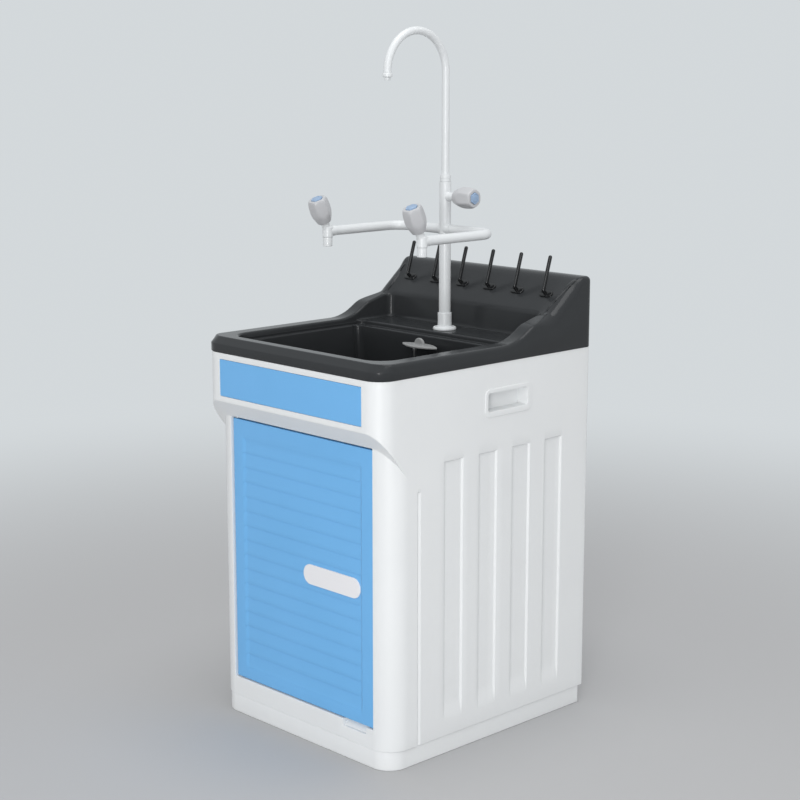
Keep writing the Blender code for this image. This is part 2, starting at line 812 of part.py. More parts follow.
def shoulder_line(lower, upper, wall):
    """One line up the front moulding, over the shoulder with both of its bends rounded."""
    up = Vector((0, 0, 1))
    foot = lower + up * shoulder_level(lower.y - wall)
    crest = upper + up * shoulder_level(upper.y - wall)
    slope = crest - foot
    reach = min(SHOULDER_ROLL, slope.length * 0.45)
    way = slope.normalized() * reach
    line = [lower + up * PANEL_LOW]
    for bend, before, after in ((foot, -up * reach, way), (crest, -way, up * reach)):
        line += [bend + before, bend + (before + after) / 4, bend + after]
    return [*line, upper + up * CABINET_TOP]


def frame_shell():
    """The front moulding: lower body, slanted shoulder and upper box, open at the rear."""
    lines = []
    for wall in (0.0, FRAME_WALL):
        lower = frame_outline(LOWER_FRONT, LOWER_CORNER_RADIUS, wall)
        upper = frame_outline(UPPER_FRONT, UPPER_CORNER_RADIUS, wall)
        side = [shoulder_line(low, high, wall) for low, high in zip(lower, upper)]
        lines.extend(reversed(side) if wall else side)
    frame = loft("front_frame", list(zip(*lines)), WHITE)
    weld(frame.data)
    return frame


def notch_span():
    high = DOOR_HALF - NOTCH_INSET
    return high - NOTCH_WIDTH, high


def notch_cutter():
    """The finger notch in the sill, with a sloped rear corner."""
    low, high = notch_span()
    floor = OPENING_LOW - NOTCH_HEIGHT
    rear = LOWER_FRONT + NOTCH_DEPTH
    profile = [
        (FRONT, floor),
        (rear - NOTCH_SLOPE, floor),
        (rear, floor + NOTCH_SLOPE),
        (rear, DOOR_LOW),
        (FRONT, DOOR_LOW),
    ]
    return prism("finger_notch", profile, "X", low, high)


def seam_groove(side):
    """The groove down the side where the front moulding meets the side panel, with a round upper end."""
    low, high = across(side, CABINET_HALF - SEAM_DEPTH, CABINET_HALF + SEAM_DEPTH)
    round_end = SEAM_WIDTH * 0.49
    front, rear = FRAME_REAR - SEAM_WIDTH / 2, FRAME_REAR + SEAM_WIDTH / 2
    bottom, top = PANEL_LOW - SEAM_WIDTH, PANEL_LOW + SEAM_HEIGHT
    foot = [(front, bottom, 0), (rear, bottom, 0)]
    outline = fillet([*foot, (rear, top, round_end), (front, top, round_end)])
    return prism("seam_groove", outline, "X", low, high)


def fascia_outline(grow=0.0):
    half = FASCIA_HALF + grow
    low, high = FASCIA_TOP - FASCIA_HEIGHT - grow, FASCIA_TOP + grow
    return rectangle(-half, half, low, high, FASCIA_RADIUS + grow)


def make_front_frame():
    frame = frame_shell()
    behind = LOWER_FRONT + FRAME_WALL / 2
    surround = box(
        "door_surround",
        (-OPENING_HALF - SURROUND_WALL, behind, OPENING_LOW - SURROUND_WALL),
        (OPENING_HALF + SURROUND_WALL, LOWER_FRONT + SURROUND_DEPTH, OPENING_HIGH + SURROUND_WALL),
    )
    notch_low, notch_high = notch_span()
    pocket = box(
        "notch_pocket",
        (notch_low - NOTCH_WALL, behind, OPENING_LOW - NOTCH_HEIGHT - NOTCH_WALL),
        (notch_high + NOTCH_WALL, LOWER_FRONT + NOTCH_DEPTH + NOTCH_WALL, OPENING_LOW - SEAT_GAP),
    )
    join(frame, surround, pocket)
    opening = box(
        "door_opening",
        (-OPENING_HALF, FRONT - FRAME_WALL, OPENING_LOW),
        (OPENING_HALF, LOWER_FRONT + SURROUND_DEPTH + SURROUND_WALL, OPENING_HIGH),
    )
    recess_floor = UPPER_FRONT + FASCIA_THICKNESS + SEAT_GAP
    recess = prism("fascia_recess", fascia_outline(PANEL_GAP), "Y", FRONT - FRAME_WALL, recess_floor)
    cut(frame, opening, notch_cutter(), recess, seam_groove(-1), seam_groove(1))
    for level, way in ((OPENING_LOW, -1), (OPENING_HIGH, 1)):
        start = (PIVOT_X, PIVOT_Y, level - way * SURROUND_WALL)
        end = (PIVOT_X, PIVOT_Y, level + way * SURROUND_WALL * 2)
        cut(frame, cylinder("hinge_hole", HINGE_PIN_RADIUS + SEAT_GAP, start, end, sides=SMALL_SIDES))
    return smooth(frame)


def make_fascia():
    prism("upper_fascia", fascia_outline(), "Y", UPPER_FRONT, UPPER_FRONT + FASCIA_THICKNESS, BLUE)


def grip_outline(grow):
    half = GRIP_WIDTH / 2 + grow
    middle = CABINET_TOP - GRIP_DROP
    low, high = middle - GRIP_HEIGHT / 2 - grow, middle + GRIP_HEIGHT / 2 + grow
    return rectangle(GRIP_MIDDLE - half, GRIP_MIDDLE + half, low, high, GRIP_RADIUS + grow)


def channel_cutter(side, middle):
    """One upright channel in a side panel, with sloped edges all round."""
    rings = []
    for depth, draw_in in ((CHANNEL_DEPTH, CHANNEL_SLOPE), (0.0, 0.0), (-SEAT_GAP, 0.0)):
        half = CHANNEL_WIDTH / 2 - draw_in
        low = PLINTH_HEIGHT + CHANNEL_RISE + draw_in
        high = PLINTH_HEIGHT + CHANNEL_RISE + CHANNEL_HEIGHT - draw_in
        outline = rectangle(middle - half, middle + half, low, high)
        rings.append([(side * (CABINET_HALF - depth), u, v) for u, v in outline])
    return loft("channel", rings)


def make_side_panel(name, side):
    low, high = across(side, CABINET_HALF - PANEL_WALL, CABINET_HALF)
    panel = box(
        name, (low, FRAME_REAR + SEAT_GAP, PANEL_LOW), (high, CABINET_REAR, CABINET_TOP), WHITE
    )
    first = CHANNEL_MIDDLE - CHANNEL_PITCH * (CHANNEL_COUNT - 1) / 2
    for index in range(CHANNEL_COUNT):
        cut(panel, channel_cutter(side, first + CHANNEL_PITCH * index))
    hole_low, hole_high = across(side, CABINET_HALF - PANEL_WALL * 2, CABINET_HALF + PANEL_WALL)
    hole = prism("grip_hole", grip_outline(GRIP_WALL + SEAT_GAP), "X", hole_low, hole_high)
    return cut(panel, hole, seam_groove(side))


def make_grip(name, side):
    """A hand grip let into the side panel: a bezel on the face and a shallow cup behind it."""
    face = CABINET_HALF + SEAT_GAP
    low, high = across(side, face, face + GRIP_PROUD)
    grip = prism(name, grip_outline(GRIP_WALL + GRIP_BORDER), "X", low, high, WHITE)
    floor = CABINET_HALF - GRIP_DEPTH
    low, high = across(side, floor - GRIP_WALL, face + GRIP_PROUD / 2)
    join(grip, prism("grip_cup", grip_outline(GRIP_WALL), "X", low, high))
    low, high = across(side, floor, face + GRIP_PROUD * 2)
    return cut(grip, prism("grip_pocket", grip_outline(0.0), "X", low, high))


def make_back_panel():
    half = CABINET_HALF - PANEL_WALL - SEAT_GAP
    face = CABINET_REAR - PANEL_WALL
    panel = box("back_panel", (-half, face, PANEL_LOW), (half, CABINET_REAR, CABINET_TOP), WHITE)
    low = PANEL_LOW + SERVICE_RISE
    outline = rectangle(-SERVICE_WIDTH / 2, SERVICE_WIDTH / 2, low, low + SERVICE_HEIGHT, SERVICE_RADIUS)
    return cut(panel, prism("service_opening", outline, "Y", face - PANEL_WALL, REAR + PANEL_WALL))


def make_plinth():
    half = CABINET_HALF - PLINTH_INSET
    rear = CABINET_REAR - PLINTH_REAR_INSET
    front_radius = LOWER_CORNER_RADIUS - PLINTH_INSET
    outside = plan_outline(-half, half, LOWER_FRONT, rear, front_radius, PLINTH_WALL * 2)
    plinth = prism("base_plinth", outside, "Z", 0.0, PLINTH_HEIGHT, WHITE)
    inside = inset(outside, PLINTH_WALL)
    return cut(plinth, prism("plinth_hollow", inside, "Z", -PLINTH_WALL, PLINTH_HEIGHT - PLINTH_WALL))


# Door


def slat_field():
    """The half width, foot and head of the door's slatted field."""
    return DOOR_HALF - BORDER_SIDE, DOOR_LOW + BORDER_BOTTOM, DOOR_HIGH - BORDER_TOP


def slat_cutter():
    half, low, high = slat_field()
    pitch = (high - low) / SLAT_COUNT
    before = DOOR_FACE - DOOR_SKIN
    profile = [(before, low)]
    for index in range(SLAT_COUNT):
        profile.append((DOOR_FACE + SLAT_RECESS - SLAT_STEP, low + pitch * index))
        profile.append((DOOR_FACE + SLAT_RECESS, low + pitch * (index + 1)))
    profile.append((before, high))
    return prism("slat_field", profile, "X", -half, half)


def make_door():
    half = DOOR_HALF
    rear = DOOR_REAR - DOOR_COVER - SEAT_GAP
    outline = fillet(
        [
            (-half, DOOR_FACE, PIVOT_INSET),
            (half, DOOR_FACE, DOOR_EDGE_RADIUS),
            (half, rear, 0),
            (-half, rear, 0),
        ]
    )
    door = prism("door", outline, "Z", DOOR_LOW, DOOR_HIGH, BLUE)
    cavity = box(
        "door_cavity",
        (-half + DOOR_STILE, DOOR_FACE + SLAT_RECESS + DOOR_SKIN, DOOR_LOW + DOOR_RAIL),
        (half - DOOR_SKIN, REAR, DOOR_HIGH - DOOR_RAIL),
    )
    cut(door, slat_cutter(), cavity)
    reach = HINGE_PIN_REACH + TURNING_GAP
    for level, way in ((DOOR_LOW, 1), (DOOR_HIGH, -1)):
        start = (PIVOT_X, PIVOT_Y, level - way * DOOR_GAP)
        end = (PIVOT_X, PIVOT_Y, level + way * reach)
        cut(door, cylinder("pivot_hole", HINGE_PIN_RADIUS + TURNING_GAP, start, end, sides=SMALL_SIDES))
    return smooth(door)


def make_door_cover():
    half = DOOR_HALF - DOOR_SKIN
    low, high = DOOR_LOW + DOOR_SKIN, DOOR_HIGH - DOOR_SKIN
    return box("door_back_cover", (-half, DOOR_REAR - DOOR_COVER, low), (half, DOOR_REAR, high), WHITE)


def make_label():
    """A plain pill-shaped plate on the slats, at the right of their field."""
    right = slat_field()[0] - LABEL_MARGIN
    low = DOOR_LOW + LABEL_RISE
    outline = rectangle(right - LABEL_LENGTH, right, low, low + LABEL_HEIGHT, LABEL_HEIGHT * 0.49)
    rear = DOOR_FACE + SLAT_RECESS - SLAT_STEP - SEAT_GAP
    return prism("door_label_plate", outline, "Y", DOOR_FACE - SEAT_GAP, rear, LABEL)


def make_catch():
    """The catch's magnet on the right jamb, and its steel strike on the door, which is returned."""
    middle = (DOOR_LOW + DOOR_HIGH) / 2
    low, high = middle - CATCH_HEIGHT / 2, middle + CATCH_HEIGHT / 2
    strike_rear = DOOR_REAR + SEAT_GAP + STRIKE_THICKNESS
    magnet_front = strike_rear + SEAT_GAP
    outer = OPENING_HALF - SEAT_GAP
    magnet = box(
        "catch_magnet",
        (outer - CATCH_WIDTH, magnet_front, low),
        (outer, magnet_front + CATCH_DEPTH, high),
        GREY,
    )
    round_over(magnet, CATCH_EDGE, 1)
    right = DOOR_HALF - STRIKE_INSET
    return box(
        "catch_strike",
        (right - CATCH_WIDTH, DOOR_REAR + SEAT_GAP, low),
        (right, strike_rear, high),
        STEEL,
    )


def make_hinge_pins():
    collar_top = DOOR_GAP - SEAT_GAP
    lower = turned(
        "hinge_pin_lower",
        [
            (0, HINGE_PIN_REACH + DOOR_GAP),
            (HINGE_PIN_RADIUS, HINGE_PIN_REACH + DOOR_GAP),
            (HINGE_PIN_RADIUS, collar_top),
            (HINGE_HEAD_RADIUS, collar_top),
            (HINGE_HEAD_RADIUS, SEAT_GAP),
            (HINGE_PIN_RADIUS, SEAT_GAP),
            (HINGE_PIN_RADIUS, -SURROUND_WALL),
            (0, -SURROUND_WALL),
        ],
        STEEL,
        sides=SMALL_SIDES,
    )
    lower.location = (PIVOT_X, PIVOT_Y, OPENING_LOW)
    head_low = SURROUND_WALL + SEAT_GAP
    upper = turned(
        "hinge_pin_upper",
        [
            (0, head_low + HINGE_HEAD),
            (HINGE_HEAD_RADIUS, head_low + HINGE_HEAD),
            (HINGE_HEAD_RADIUS, head_low),
            (HINGE_PIN_RADIUS, head_low),
            (HINGE_PIN_RADIUS, -DOOR_GAP - HINGE_PIN_REACH),
            (0, -DOOR_GAP - HINGE_PIN_REACH),
        ],
        STEEL,
        sides=SMALL_SIDES,
    )
    upper.location = (PIVOT_X, PIVOT_Y, OPENING_HIGH)


# Waste


def make_nut(name, radius, height, bore, top, material):
    """A hexagonal locknut hanging from the middle of its upper face."""
    down = Vector((0, 0, -height))
    nut = cylinder(name, radius, top + down, top, material, NUT_SIDES)
    return cut(nut, cylinder("nut_bore", bore, top + down * 2, top - down))


def make_drain():
    drain = turned(
        "drain_flange",
        [
            (DRAIN_FLANGE - DRAIN_FLANGE_EDGE, DRAIN_FLANGE_HEIGHT),
            (DRAIN_FLANGE, DRAIN_FLANGE_HEIGHT - DRAIN_FLANGE_EDGE),
            (DRAIN_FLANGE, 0),
            (DRAIN_BODY, 0),
            (DRAIN_BODY, -DRAIN_BODY_LENGTH),
            (DRAIN_BORE, -DRAIN_BODY_LENGTH),
            (DRAIN_BORE, -PLUG_DEPTH),
            (DRAIN_BORE + DRAIN_SEAT_TAPER, DRAIN_FLANGE_HEIGHT),
        ],
        STEEL,
        ring=True,
    )
    drain.location = (0, DRAIN_Y, DRAIN_TOP)
    nut_top = Vector((0, DRAIN_Y, BOWL_FLOOR - SINK_WALL - SEAT_GAP))
    make_nut("drain_locknut", NUT_RADIUS, NUT_HEIGHT, DRAIN_BODY + SEAT_GAP, nut_top, WHITE)


def make_trap():
    tail_top = DRAIN_TOP - DRAIN_BODY_LENGTH - SEAT_GAP
    tail = turned(
        "drain_tailpiece",
        [
            (DRAIN_BODY, 0),
            (DRAIN_BODY, -TAIL_COLLAR),
            (TAIL_RADIUS, -TAIL_COLLAR),
            (TAIL_RADIUS, -TAIL_LENGTH),
            (TAIL_RADIUS - PIPE_WALL, -TAIL_LENGTH),
            (TAIL_RADIUS - PIPE_WALL, 0),
        ],
        WHITE,
        ring=True,
    )
    tail.location = (0, DRAIN_Y, tail_top)
    head_top = tail_top - TRAP_DROP
    bore = TAIL_RADIUS + SEAT_GAP
    inside = TRAP_RADIUS - PIPE_WALL
    head = turned(
        "trap_head",
        [
            (TRAP_RADIUS, 0),
            (TRAP_RADIUS, -TRAP_HEAD_HEIGHT),
            (inside, -TRAP_HEAD_HEIGHT),
            (inside, -PIPE_WALL),
            (bore, -PIPE_WALL),
            (bore, 0),
        ],
        WHITE,
        ring=True,
    )
    outlet_level = -TRAP_HEAD_HEIGHT / 2
    wall_middle = TRAP_RADIUS - PIPE_WALL / 2
    outlet = cylinder(
        "trap_outlet",
        TAIL_RADIUS,
        (0, wall_middle, outlet_level),
        (0, TRAP_OUTLET_REACH, outlet_level),
    )
    way_out = cylinder(
        "outlet_bore",
        TAIL_RADIUS - PIPE_WALL,
        (0, inside - PIPE_WALL * 2, outlet_level),
        (0, TRAP_OUTLET_REACH + PIPE_WALL, outlet_level),
    )
    cut(join(head, outlet), way_out)
    cup_outside = TRAP_RADIUS - TRAP_CUP_INSET
    cup_inside = cup_outside - PIPE_WALL
    floor = -TRAP_CUP_HEIGHT
    cup = turned(
        "trap_cup",
        [
            (0, floor + PIPE_WALL),
            (cup_inside - TRAP_CUP_ROUND, floor + PIPE_WALL),
            (cup_inside, floor + PIPE_WALL + TRAP_CUP_ROUND),
            (cup_inside, 0),
            (TRAP_RADIUS, 0),
            (TRAP_RADIUS, -TRAP_CUP_LIP),
            (cup_outside, -TRAP_CUP_LIP),
            (cup_outside, floor + TRAP_CUP_ROUND),
            (cup_outside - TRAP_CUP_ROUND, floor),
            (0, floor),
        ],
        WHITE,
    )
    for piece in (head, outlet, way_out):
        piece.location = (0, DRAIN_Y, head_top)
    cup.location = (0, DRAIN_Y, head_top - TRAP_HEAD_HEIGHT - SEAT_GAP)


def handle_outline():
    """A lens seen from above, drawn out to a rounded point at each end."""
    points = []
    for step in range(ARC_STEPS * 4):
        angle = math.tau * step / (ARC_STEPS * 4)
        pinch = abs(math.sin(angle))
        points.append((math.cos(angle) * HANDLE_LENGTH / 2, math.sin(angle) * pinch * HANDLE_WIDTH / 2))
    return points


def tab_outline():
    """The finger tab: half a disc standing on the handle."""
    points = [(-TAB_RADIUS, HANDLE_THICKNESS / 2)]
    for step in range(ARC_STEPS * 2 + 1):
        angle = math.pi * (1 - step / (ARC_STEPS * 2))
        points.append((TAB_RADIUS * math.cos(angle), HANDLE_THICKNESS + TAB_RADIUS * math.sin(angle)))
    points.append((TAB_RADIUS, HANDLE_THICKNESS / 2))
    return points


def make_plug():
    lid = DRAIN_FLANGE_HEIGHT + PLUG_LID
    wide = DRAIN_BORE + DRAIN_SEAT_TAPER - SEAT_GAP
    plug = turned(
        "drain_plug",
        [
            (0, lid),
            (wide, lid),
            (wide, DRAIN_FLANGE_HEIGHT),
            (DRAIN_BORE - SEAT_GAP, -PLUG_DEPTH),
            (0, -PLUG_DEPTH),
        ],
        RUBBER,
    )
    plug.location = (0, DRAIN_Y, DRAIN_TOP)
    handle_low = RIM_HEIGHT - HANDLE_BELOW_RIM
    rod_top = handle_low - DRAIN_TOP - SEAT_GAP
    rod_low = lid + SEAT_GAP
    rod = turned(
        "plug_rod",
        [(0, rod_top), (ROD_RADIUS, rod_top), (ROD_RADIUS, rod_low), (0, rod_low)],
        STEEL,
        sides=SMALL_SIDES,
    )
    rod.location = plug.location
    handle = prism("plug_handle", handle_outline(), "Z", 0.0, HANDLE_THICKNESS, GREY)
    tab = prism("handle_tab", tab_outline(), "Y", -TAB_THICKNESS / 2, TAB_THICKNESS / 2)
    join(handle, tab)
    for piece in (handle, tab):
        piece.location = (0, DRAIN_Y + HANDLE_OFFSET, handle_low)
    bpy.context.view_layer.update()
    hang(joint_axis("plug_lift_axis", (0, DRAIN_Y, DRAIN_TOP)), plug, rod, handle)


# Tap


def make_tap_base():
    socket = COLUMN_RADIUS + SEAT_GAP
    top = TAP_FLANGE_HEIGHT + TAP_SLEEVE_HEIGHT
    socket_floor = TAP_FLANGE_HEIGHT - SEAT_GAP
    base = turned(
        "tap_base",
        [
            (0, socket_floor),
            (socket, socket_floor),
            (socket, top),
            (TAP_SLEEVE_RADIUS, top),
            (TAP_SLEEVE_RADIUS, TAP_FLANGE_HEIGHT),
            (TAP_FLANGE_RADIUS - TAP_FLANGE_EDGE, TAP_FLANGE_HEIGHT),
            (TAP_FLANGE_RADIUS, TAP_FLANGE_HEIGHT - TAP_FLANGE_EDGE),
            (TAP_FLANGE_RADIUS, SEAT_GAP),
            (TAP_SHANK_RADIUS, SEAT_GAP),
            (TAP_SHANK_RADIUS, -TAP_SHANK_LENGTH),
            (0, -TAP_SHANK_LENGTH),
        ],
        TAP_COAT,
    )
    base.location = (0, TAP_Y, DECK_LEVEL)
    nut_top = Vector((0, TAP_Y, DECK_UNDERSIDE - SEAT_GAP))
    make_nut("tap_locknut", TAP_NUT_RADIUS, TAP_NUT_HEIGHT, TAP_SHANK_RADIUS + SEAT_GAP, nut_top, STEEL)


def spindle_hole(foot, axis):
    """The blind hole in a valve neck that holds the spindle. foot is the middle of the neck's end."""
    start = foot - axis * (SPINDLE_SEAT + TURNING_GAP)
    end = foot + axis * SPINDLE_SEAT
    return cylinder("spindle_hole", SPINDLE_RADIUS + TURNING_GAP, start, end, sides=SMALL_SIDES)


def make_column():
    low, high = (0, TAP_Y, COLUMN_FOOT), (0, TAP_Y, COLUMN_TOP)
    column = cylinder("tap_column", COLUMN_RADIUS, low, high, TAP_COAT)
    branch_start = (-BOSS_LENGTH, TAP_Y, BRANCH_Z)
    branch_end = (BOSS_LENGTH, TAP_Y, BRANCH_Z)
    foot, axis = upper_knob_foot()
    join(
        column,
        cylinder("branch_boss", BOSS_RADIUS, branch_start, branch_end),
        cylinder("upper_neck", NECK_RADIUS, foot - axis * UPPER_NECK_LENGTH, foot),
    )
    socket = cylinder(
        "spout_socket",
        SPOUT_RADIUS + TURNING_GAP,
        (0, TAP_Y, COLUMN_TOP - SPOUT_SOCKET - TURNING_GAP),
        (0, TAP_Y, COLUMN_TOP + SPOUT_SOCKET),
    )
    cut(column, spindle_hole(foot, axis), socket)
    return smooth(column)


def make_branch(name, side):
    along = Vector((side, 0, 0))
    back = Vector((0, 1, 0))
    corner = Vector((side * BRANCH_SPREAD, TAP_Y, BRANCH_Z))
    start = Vector((side * (BOSS_LENGTH + SEAT_GAP), TAP_Y, BRANCH_Z))
    end = Vector((side * BRANCH_SPREAD, VALVE_Y + BOSS_LENGTH + SEAT_GAP, BRANCH_Z))
    centre = corner - (along + back) * BRANCH_BEND
    bend = arc(
        centre,
        corner - along * BRANCH_BEND,
        corner - back * BRANCH_BEND,
        "Z",
        -side * math.pi / 2,
        ARC_STEPS,
    )
    return tube(name, [start, *bend, end], BRANCH_RADIUS, TAP_COAT)


def valve_middle(side):
    return Vector((side * BRANCH_SPREAD, VALVE_Y, BRANCH_Z))


def branch_knob_foot(side):
    """The foot of a branch valve's knob, and the way its axis points."""
    axis = Vector((0, -math.sin(KNOB_TILT), math.cos(KNOB_TILT)))
    return valve_middle(side) + axis * NECK_LENGTH, axis


def upper_knob_foot():
    axis = Vector((1, 0, 0))
    return Vector((0, TAP_Y, UPPER_VALVE_Z)) + axis * UPPER_NECK_LENGTH, axis


def make_valve(name, side):
    middle = valve_middle(side)
    foot, axis = branch_knob_foot(side)
    up = Vector((0, 0, 1))
    valve = cylinder(name, BOSS_RADIUS, middle - up * VALVE_BELOW, middle + up * VALVE_ABOVE, TAP_COAT)
    join(
        valve,
        cylinder("valve_boss", BOSS_RADIUS, middle, middle + Vector((0, BOSS_LENGTH, 0))),
        cylinder("valve_neck", NECK_RADIUS, middle, foot),
    )
    cut(valve, spindle_hole(foot, axis))
    return smooth(valve)


def make_outlet(name, side):
    outlet = turned(
        name,
        [
            (0, -SEAT_GAP),
            (OUTLET_RADIUS, -SEAT_GAP),
            (OUTLET_RADIUS, OUTLET_TIP - OUTLET_LENGTH),
            (OUTLET_TIP_RADIUS, -OUTLET_LENGTH),
            (0, -OUTLET_LENGTH),
        ],
        TAP_COAT,
    )
    outlet.location = valve_middle(side) - Vector((0, 0, VALVE_BELOW))


def lobed_ring(radius, height):
    ring = []
    sides = KNOB_LOBES * LOBE_SIDES
    for index in range(sides):
        angle = math.tau * index / sides
        reach = radius * (1 + KNOB_LOBE_SHARE * math.cos(KNOB_LOBES * angle))
        ring.append((reach * math.cos(angle), reach * math.sin(angle), height))
    return ring


def make_knob_set(name, foot, axis, turn=0.0):
    """A valve's knob, its cap and its spindle, each with its origin on the turning axis at its foot."""
    knob = loft(
        f"{name}_knob",
        [
            lobed_ring(KNOB_FOOT_RADIUS, SEAT_GAP),
            lobed_ring(KNOB_RADIUS, KNOB_FLARE),
            lobed_ring(KNOB_RADIUS, KNOB_LENGTH - KNOB_END_TAPER),
            lobed_ring(KNOB_END_RADIUS, KNOB_LENGTH),
        ],
        KNOB,
    )
    bore = cylinder(
        "knob_bore",
        SPINDLE_RADIUS + SEAT_GAP,
        (0, 0, -SPINDLE_SEAT),
        (0, 0, SPINDLE_REACH + SEAT_GAP),
        sides=SMALL_SIDES,
    )
    seat_low, seat_high = KNOB_LENGTH - CAP_DEPTH - SEAT_GAP, KNOB_LENGTH + CAP_DEPTH
    seat_radius = CAP_RADIUS + SEAT_GAP
    seat = loft("cap_seat", [lobed_ring(seat_radius, seat_low), lobed_ring(seat_radius, seat_high)])
    cut(knob, bore, seat)
    cap = loft(
        f"{name}_knob_cap",
        [
            lobed_ring(CAP_RADIUS, KNOB_LENGTH - CAP_DEPTH),
            lobed_ring(CAP_RADIUS, KNOB_LENGTH + CAP_PROUD - CAP_EDGE),
            lobed_ring(CAP_RADIUS - CAP_EDGE, KNOB_LENGTH + CAP_PROUD),
        ],
        CAP,
    )
    spindle = cylinder(
        f"{name}_spindle", SPINDLE_RADIUS, (0, 0, -SPINDLE_SEAT), (0, 0, SPINDLE_REACH), STEEL, SMALL_SIDES
    )
    frame = Matrix.Translation(foot) @ axis.to_track_quat("Z", "Y").to_matrix().to_4x4()
    frame = frame @ Matrix.Rotation(turn, 4, "Z")
    for piece in (knob, bore, seat, cap, spindle):
        piece.matrix_world = frame
    smooth(knob)


def make_spout():
    start = Vector((0, TAP_Y, COLUMN_TOP + COLLAR_HEIGHT + SPOUT_RISE))
    end = start - Vector((0, 2 * SPOUT_BEND, 0))
    foot = Vector((0, TAP_Y, COLUMN_TOP - SPOUT_SOCKET))
    bend = arc((start + end) / 2, start, end, "X", math.pi, SPOUT_STEPS)
    tail = end - Vector((0, 0, SPOUT_TAIL))
    spout = tube("gooseneck_spout", [foot, *bend, tail], SPOUT_RADIUS, TAP_COAT)
    nozzle = turned(
        "spout_nozzle",
        [
            (0, -SEAT_GAP),
            (NOZZLE_RADIUS - NOZZLE_EDGE, -SEAT_GAP),
            (NOZZLE_RADIUS, -NOZZLE_EDGE),
            (NOZZLE_RADIUS, -NOZZLE_HEIGHT),
            (NOZZLE_TIP_RADIUS, -NOZZLE_HEIGHT),
            (NOZZLE_TIP_RADIUS, -NOZZLE_HEIGHT - NOZZLE_TIP),
            (0, -NOZZLE_HEIGHT - NOZZLE_TIP),
        ],
        TAP_COAT,
    )
    nozzle.location = tail
    hang(joint_axis("spout_swivel_axis", (0, TAP_Y, COLUMN_TOP)), spout, nozzle)
    bore = SPOUT_RADIUS + TURNING_GAP
    collar = turned(
        "swivel_collar",
        [
            (COLLAR_RADIUS, COLLAR_HEIGHT),
            (COLLAR_RADIUS, SEAT_GAP),
            (bore, SEAT_GAP),
            (bore, COLLAR_HEIGHT),
        ],
        TAP_COAT,
        ring=True,
    )
    collar.location = (0, TAP_Y, COLUMN_TOP)


def main():
    make_plinth()
    make_front_frame()
    make_fascia()
    make_back_panel()
    make_sink_top()
    make_sink_bowl()
    make_drying_board()
    make_pegs()
    make_drain()
    make_trap()
    make_plug()
    make_tap_base()
    make_column()
    make_spout()
    for side, word in ((-1, "left"), (1, "right")):
        make_side_panel(f"{word}_side_panel", side)
        make_grip(f"{word}_hand_grip", side)
        make_branch(f"{word}_branch_pipe", side)
        make_valve(f"{word}_valve", side)
        make_outlet(f"{word}_outlet", side)
        make_knob_set(word, *branch_knob_foot(side))
    make_knob_set("upper", *upper_knob_foot(), turn=math.pi / KNOB_LOBES)
    make_hinge_pins()
    hinge = joint_axis("door_hinge_axis", (PIVOT_X, PIVOT_Y, DOOR_LOW))
    hang(hinge, make_door(), make_door_cover(), make_label(), make_catch())


main()
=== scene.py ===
# Free-standing laboratory sink unit: fine shapes and finishes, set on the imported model.

import math
from collections import Counter, namedtuple

import bmesh
import bpy
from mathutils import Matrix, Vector


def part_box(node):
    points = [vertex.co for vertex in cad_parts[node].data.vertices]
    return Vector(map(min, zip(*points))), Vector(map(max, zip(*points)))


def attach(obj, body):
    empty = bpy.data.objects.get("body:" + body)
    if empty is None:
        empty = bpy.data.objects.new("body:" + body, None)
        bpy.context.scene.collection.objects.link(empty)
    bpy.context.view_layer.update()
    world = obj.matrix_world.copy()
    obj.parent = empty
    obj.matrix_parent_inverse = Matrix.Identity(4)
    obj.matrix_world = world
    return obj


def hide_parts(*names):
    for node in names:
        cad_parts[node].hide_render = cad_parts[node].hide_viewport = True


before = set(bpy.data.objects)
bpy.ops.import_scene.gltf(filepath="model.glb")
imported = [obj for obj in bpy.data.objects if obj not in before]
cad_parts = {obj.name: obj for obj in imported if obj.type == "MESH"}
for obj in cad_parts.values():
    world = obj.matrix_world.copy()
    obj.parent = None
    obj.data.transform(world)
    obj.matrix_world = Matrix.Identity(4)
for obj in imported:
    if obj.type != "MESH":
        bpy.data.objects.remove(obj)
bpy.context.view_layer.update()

UP = Vector((0, 0, 1))
ACROSS = Vector((1, 0, 0))
FORWARD = Vector((0, -1, 0))
HANDS = (("left", -1), ("right", 1))
SEAT_GAP = 0.0003


def middle_of(node):
    low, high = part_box(node)
    return (low + high) / 2


# Camera, taken for an 800 by 800 image
CAMERA_EYE = Vector((2.5478, -2.4518, 1.3697))
CAMERA_TARGET = Vector((0.0023, 0.0025, 0.6641))
CAMERA_SENSOR = 36.0
CAMERA_LENS = 78.57

# Sink top
TOP_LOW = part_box("sink_top")[0]
TOP_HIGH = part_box("drying_board")[1]
SKIRT_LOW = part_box("right_side_panel")[1].z + SEAT_GAP
RIM_HEIGHT = 0.804
TOP_FRONT_RADIUS = 0.040
TOP_REAR_RADIUS = 0.012
RIM_ROLL = 0.0085
RIM_FOOT = 0.006
FRONT_RIM_ROLL = 0.0040
FRONT_CHAMFER = 0.0115
FRONT_CHAMFER_DROP = 0.0138
FRONT_CHAMFER_ANGLE = math.radians(45)
CHAMFER_EASE = 0.1
BOARD_END_ROLL = 0.024
CREST_ROLL = 0.010
SKIRT_LIP = 0.0015
MOUTH_HALF = TOP_HIGH.x - 0.0405
MOUTH_FRONT = TOP_LOW.y + 0.039
MOUTH_REAR = TOP_HIGH.y - 0.109
MOUTH_FRONT_RADIUS = 0.042
MOUTH_REAR_RADIUS = 0.016
MOUTH_ROLL = 0.0055
WALL_DRAFT = 0.0014
WALL_HEAD_SHARE = 0.4
WALL_RING_SHARE = 0.04
WALL_FOOT = 0.0085
REBATE_HEAD = 0.0062
WALL_RING_DROP = 0.0004
DECK_LEVEL = RIM_HEIGHT - 0.007
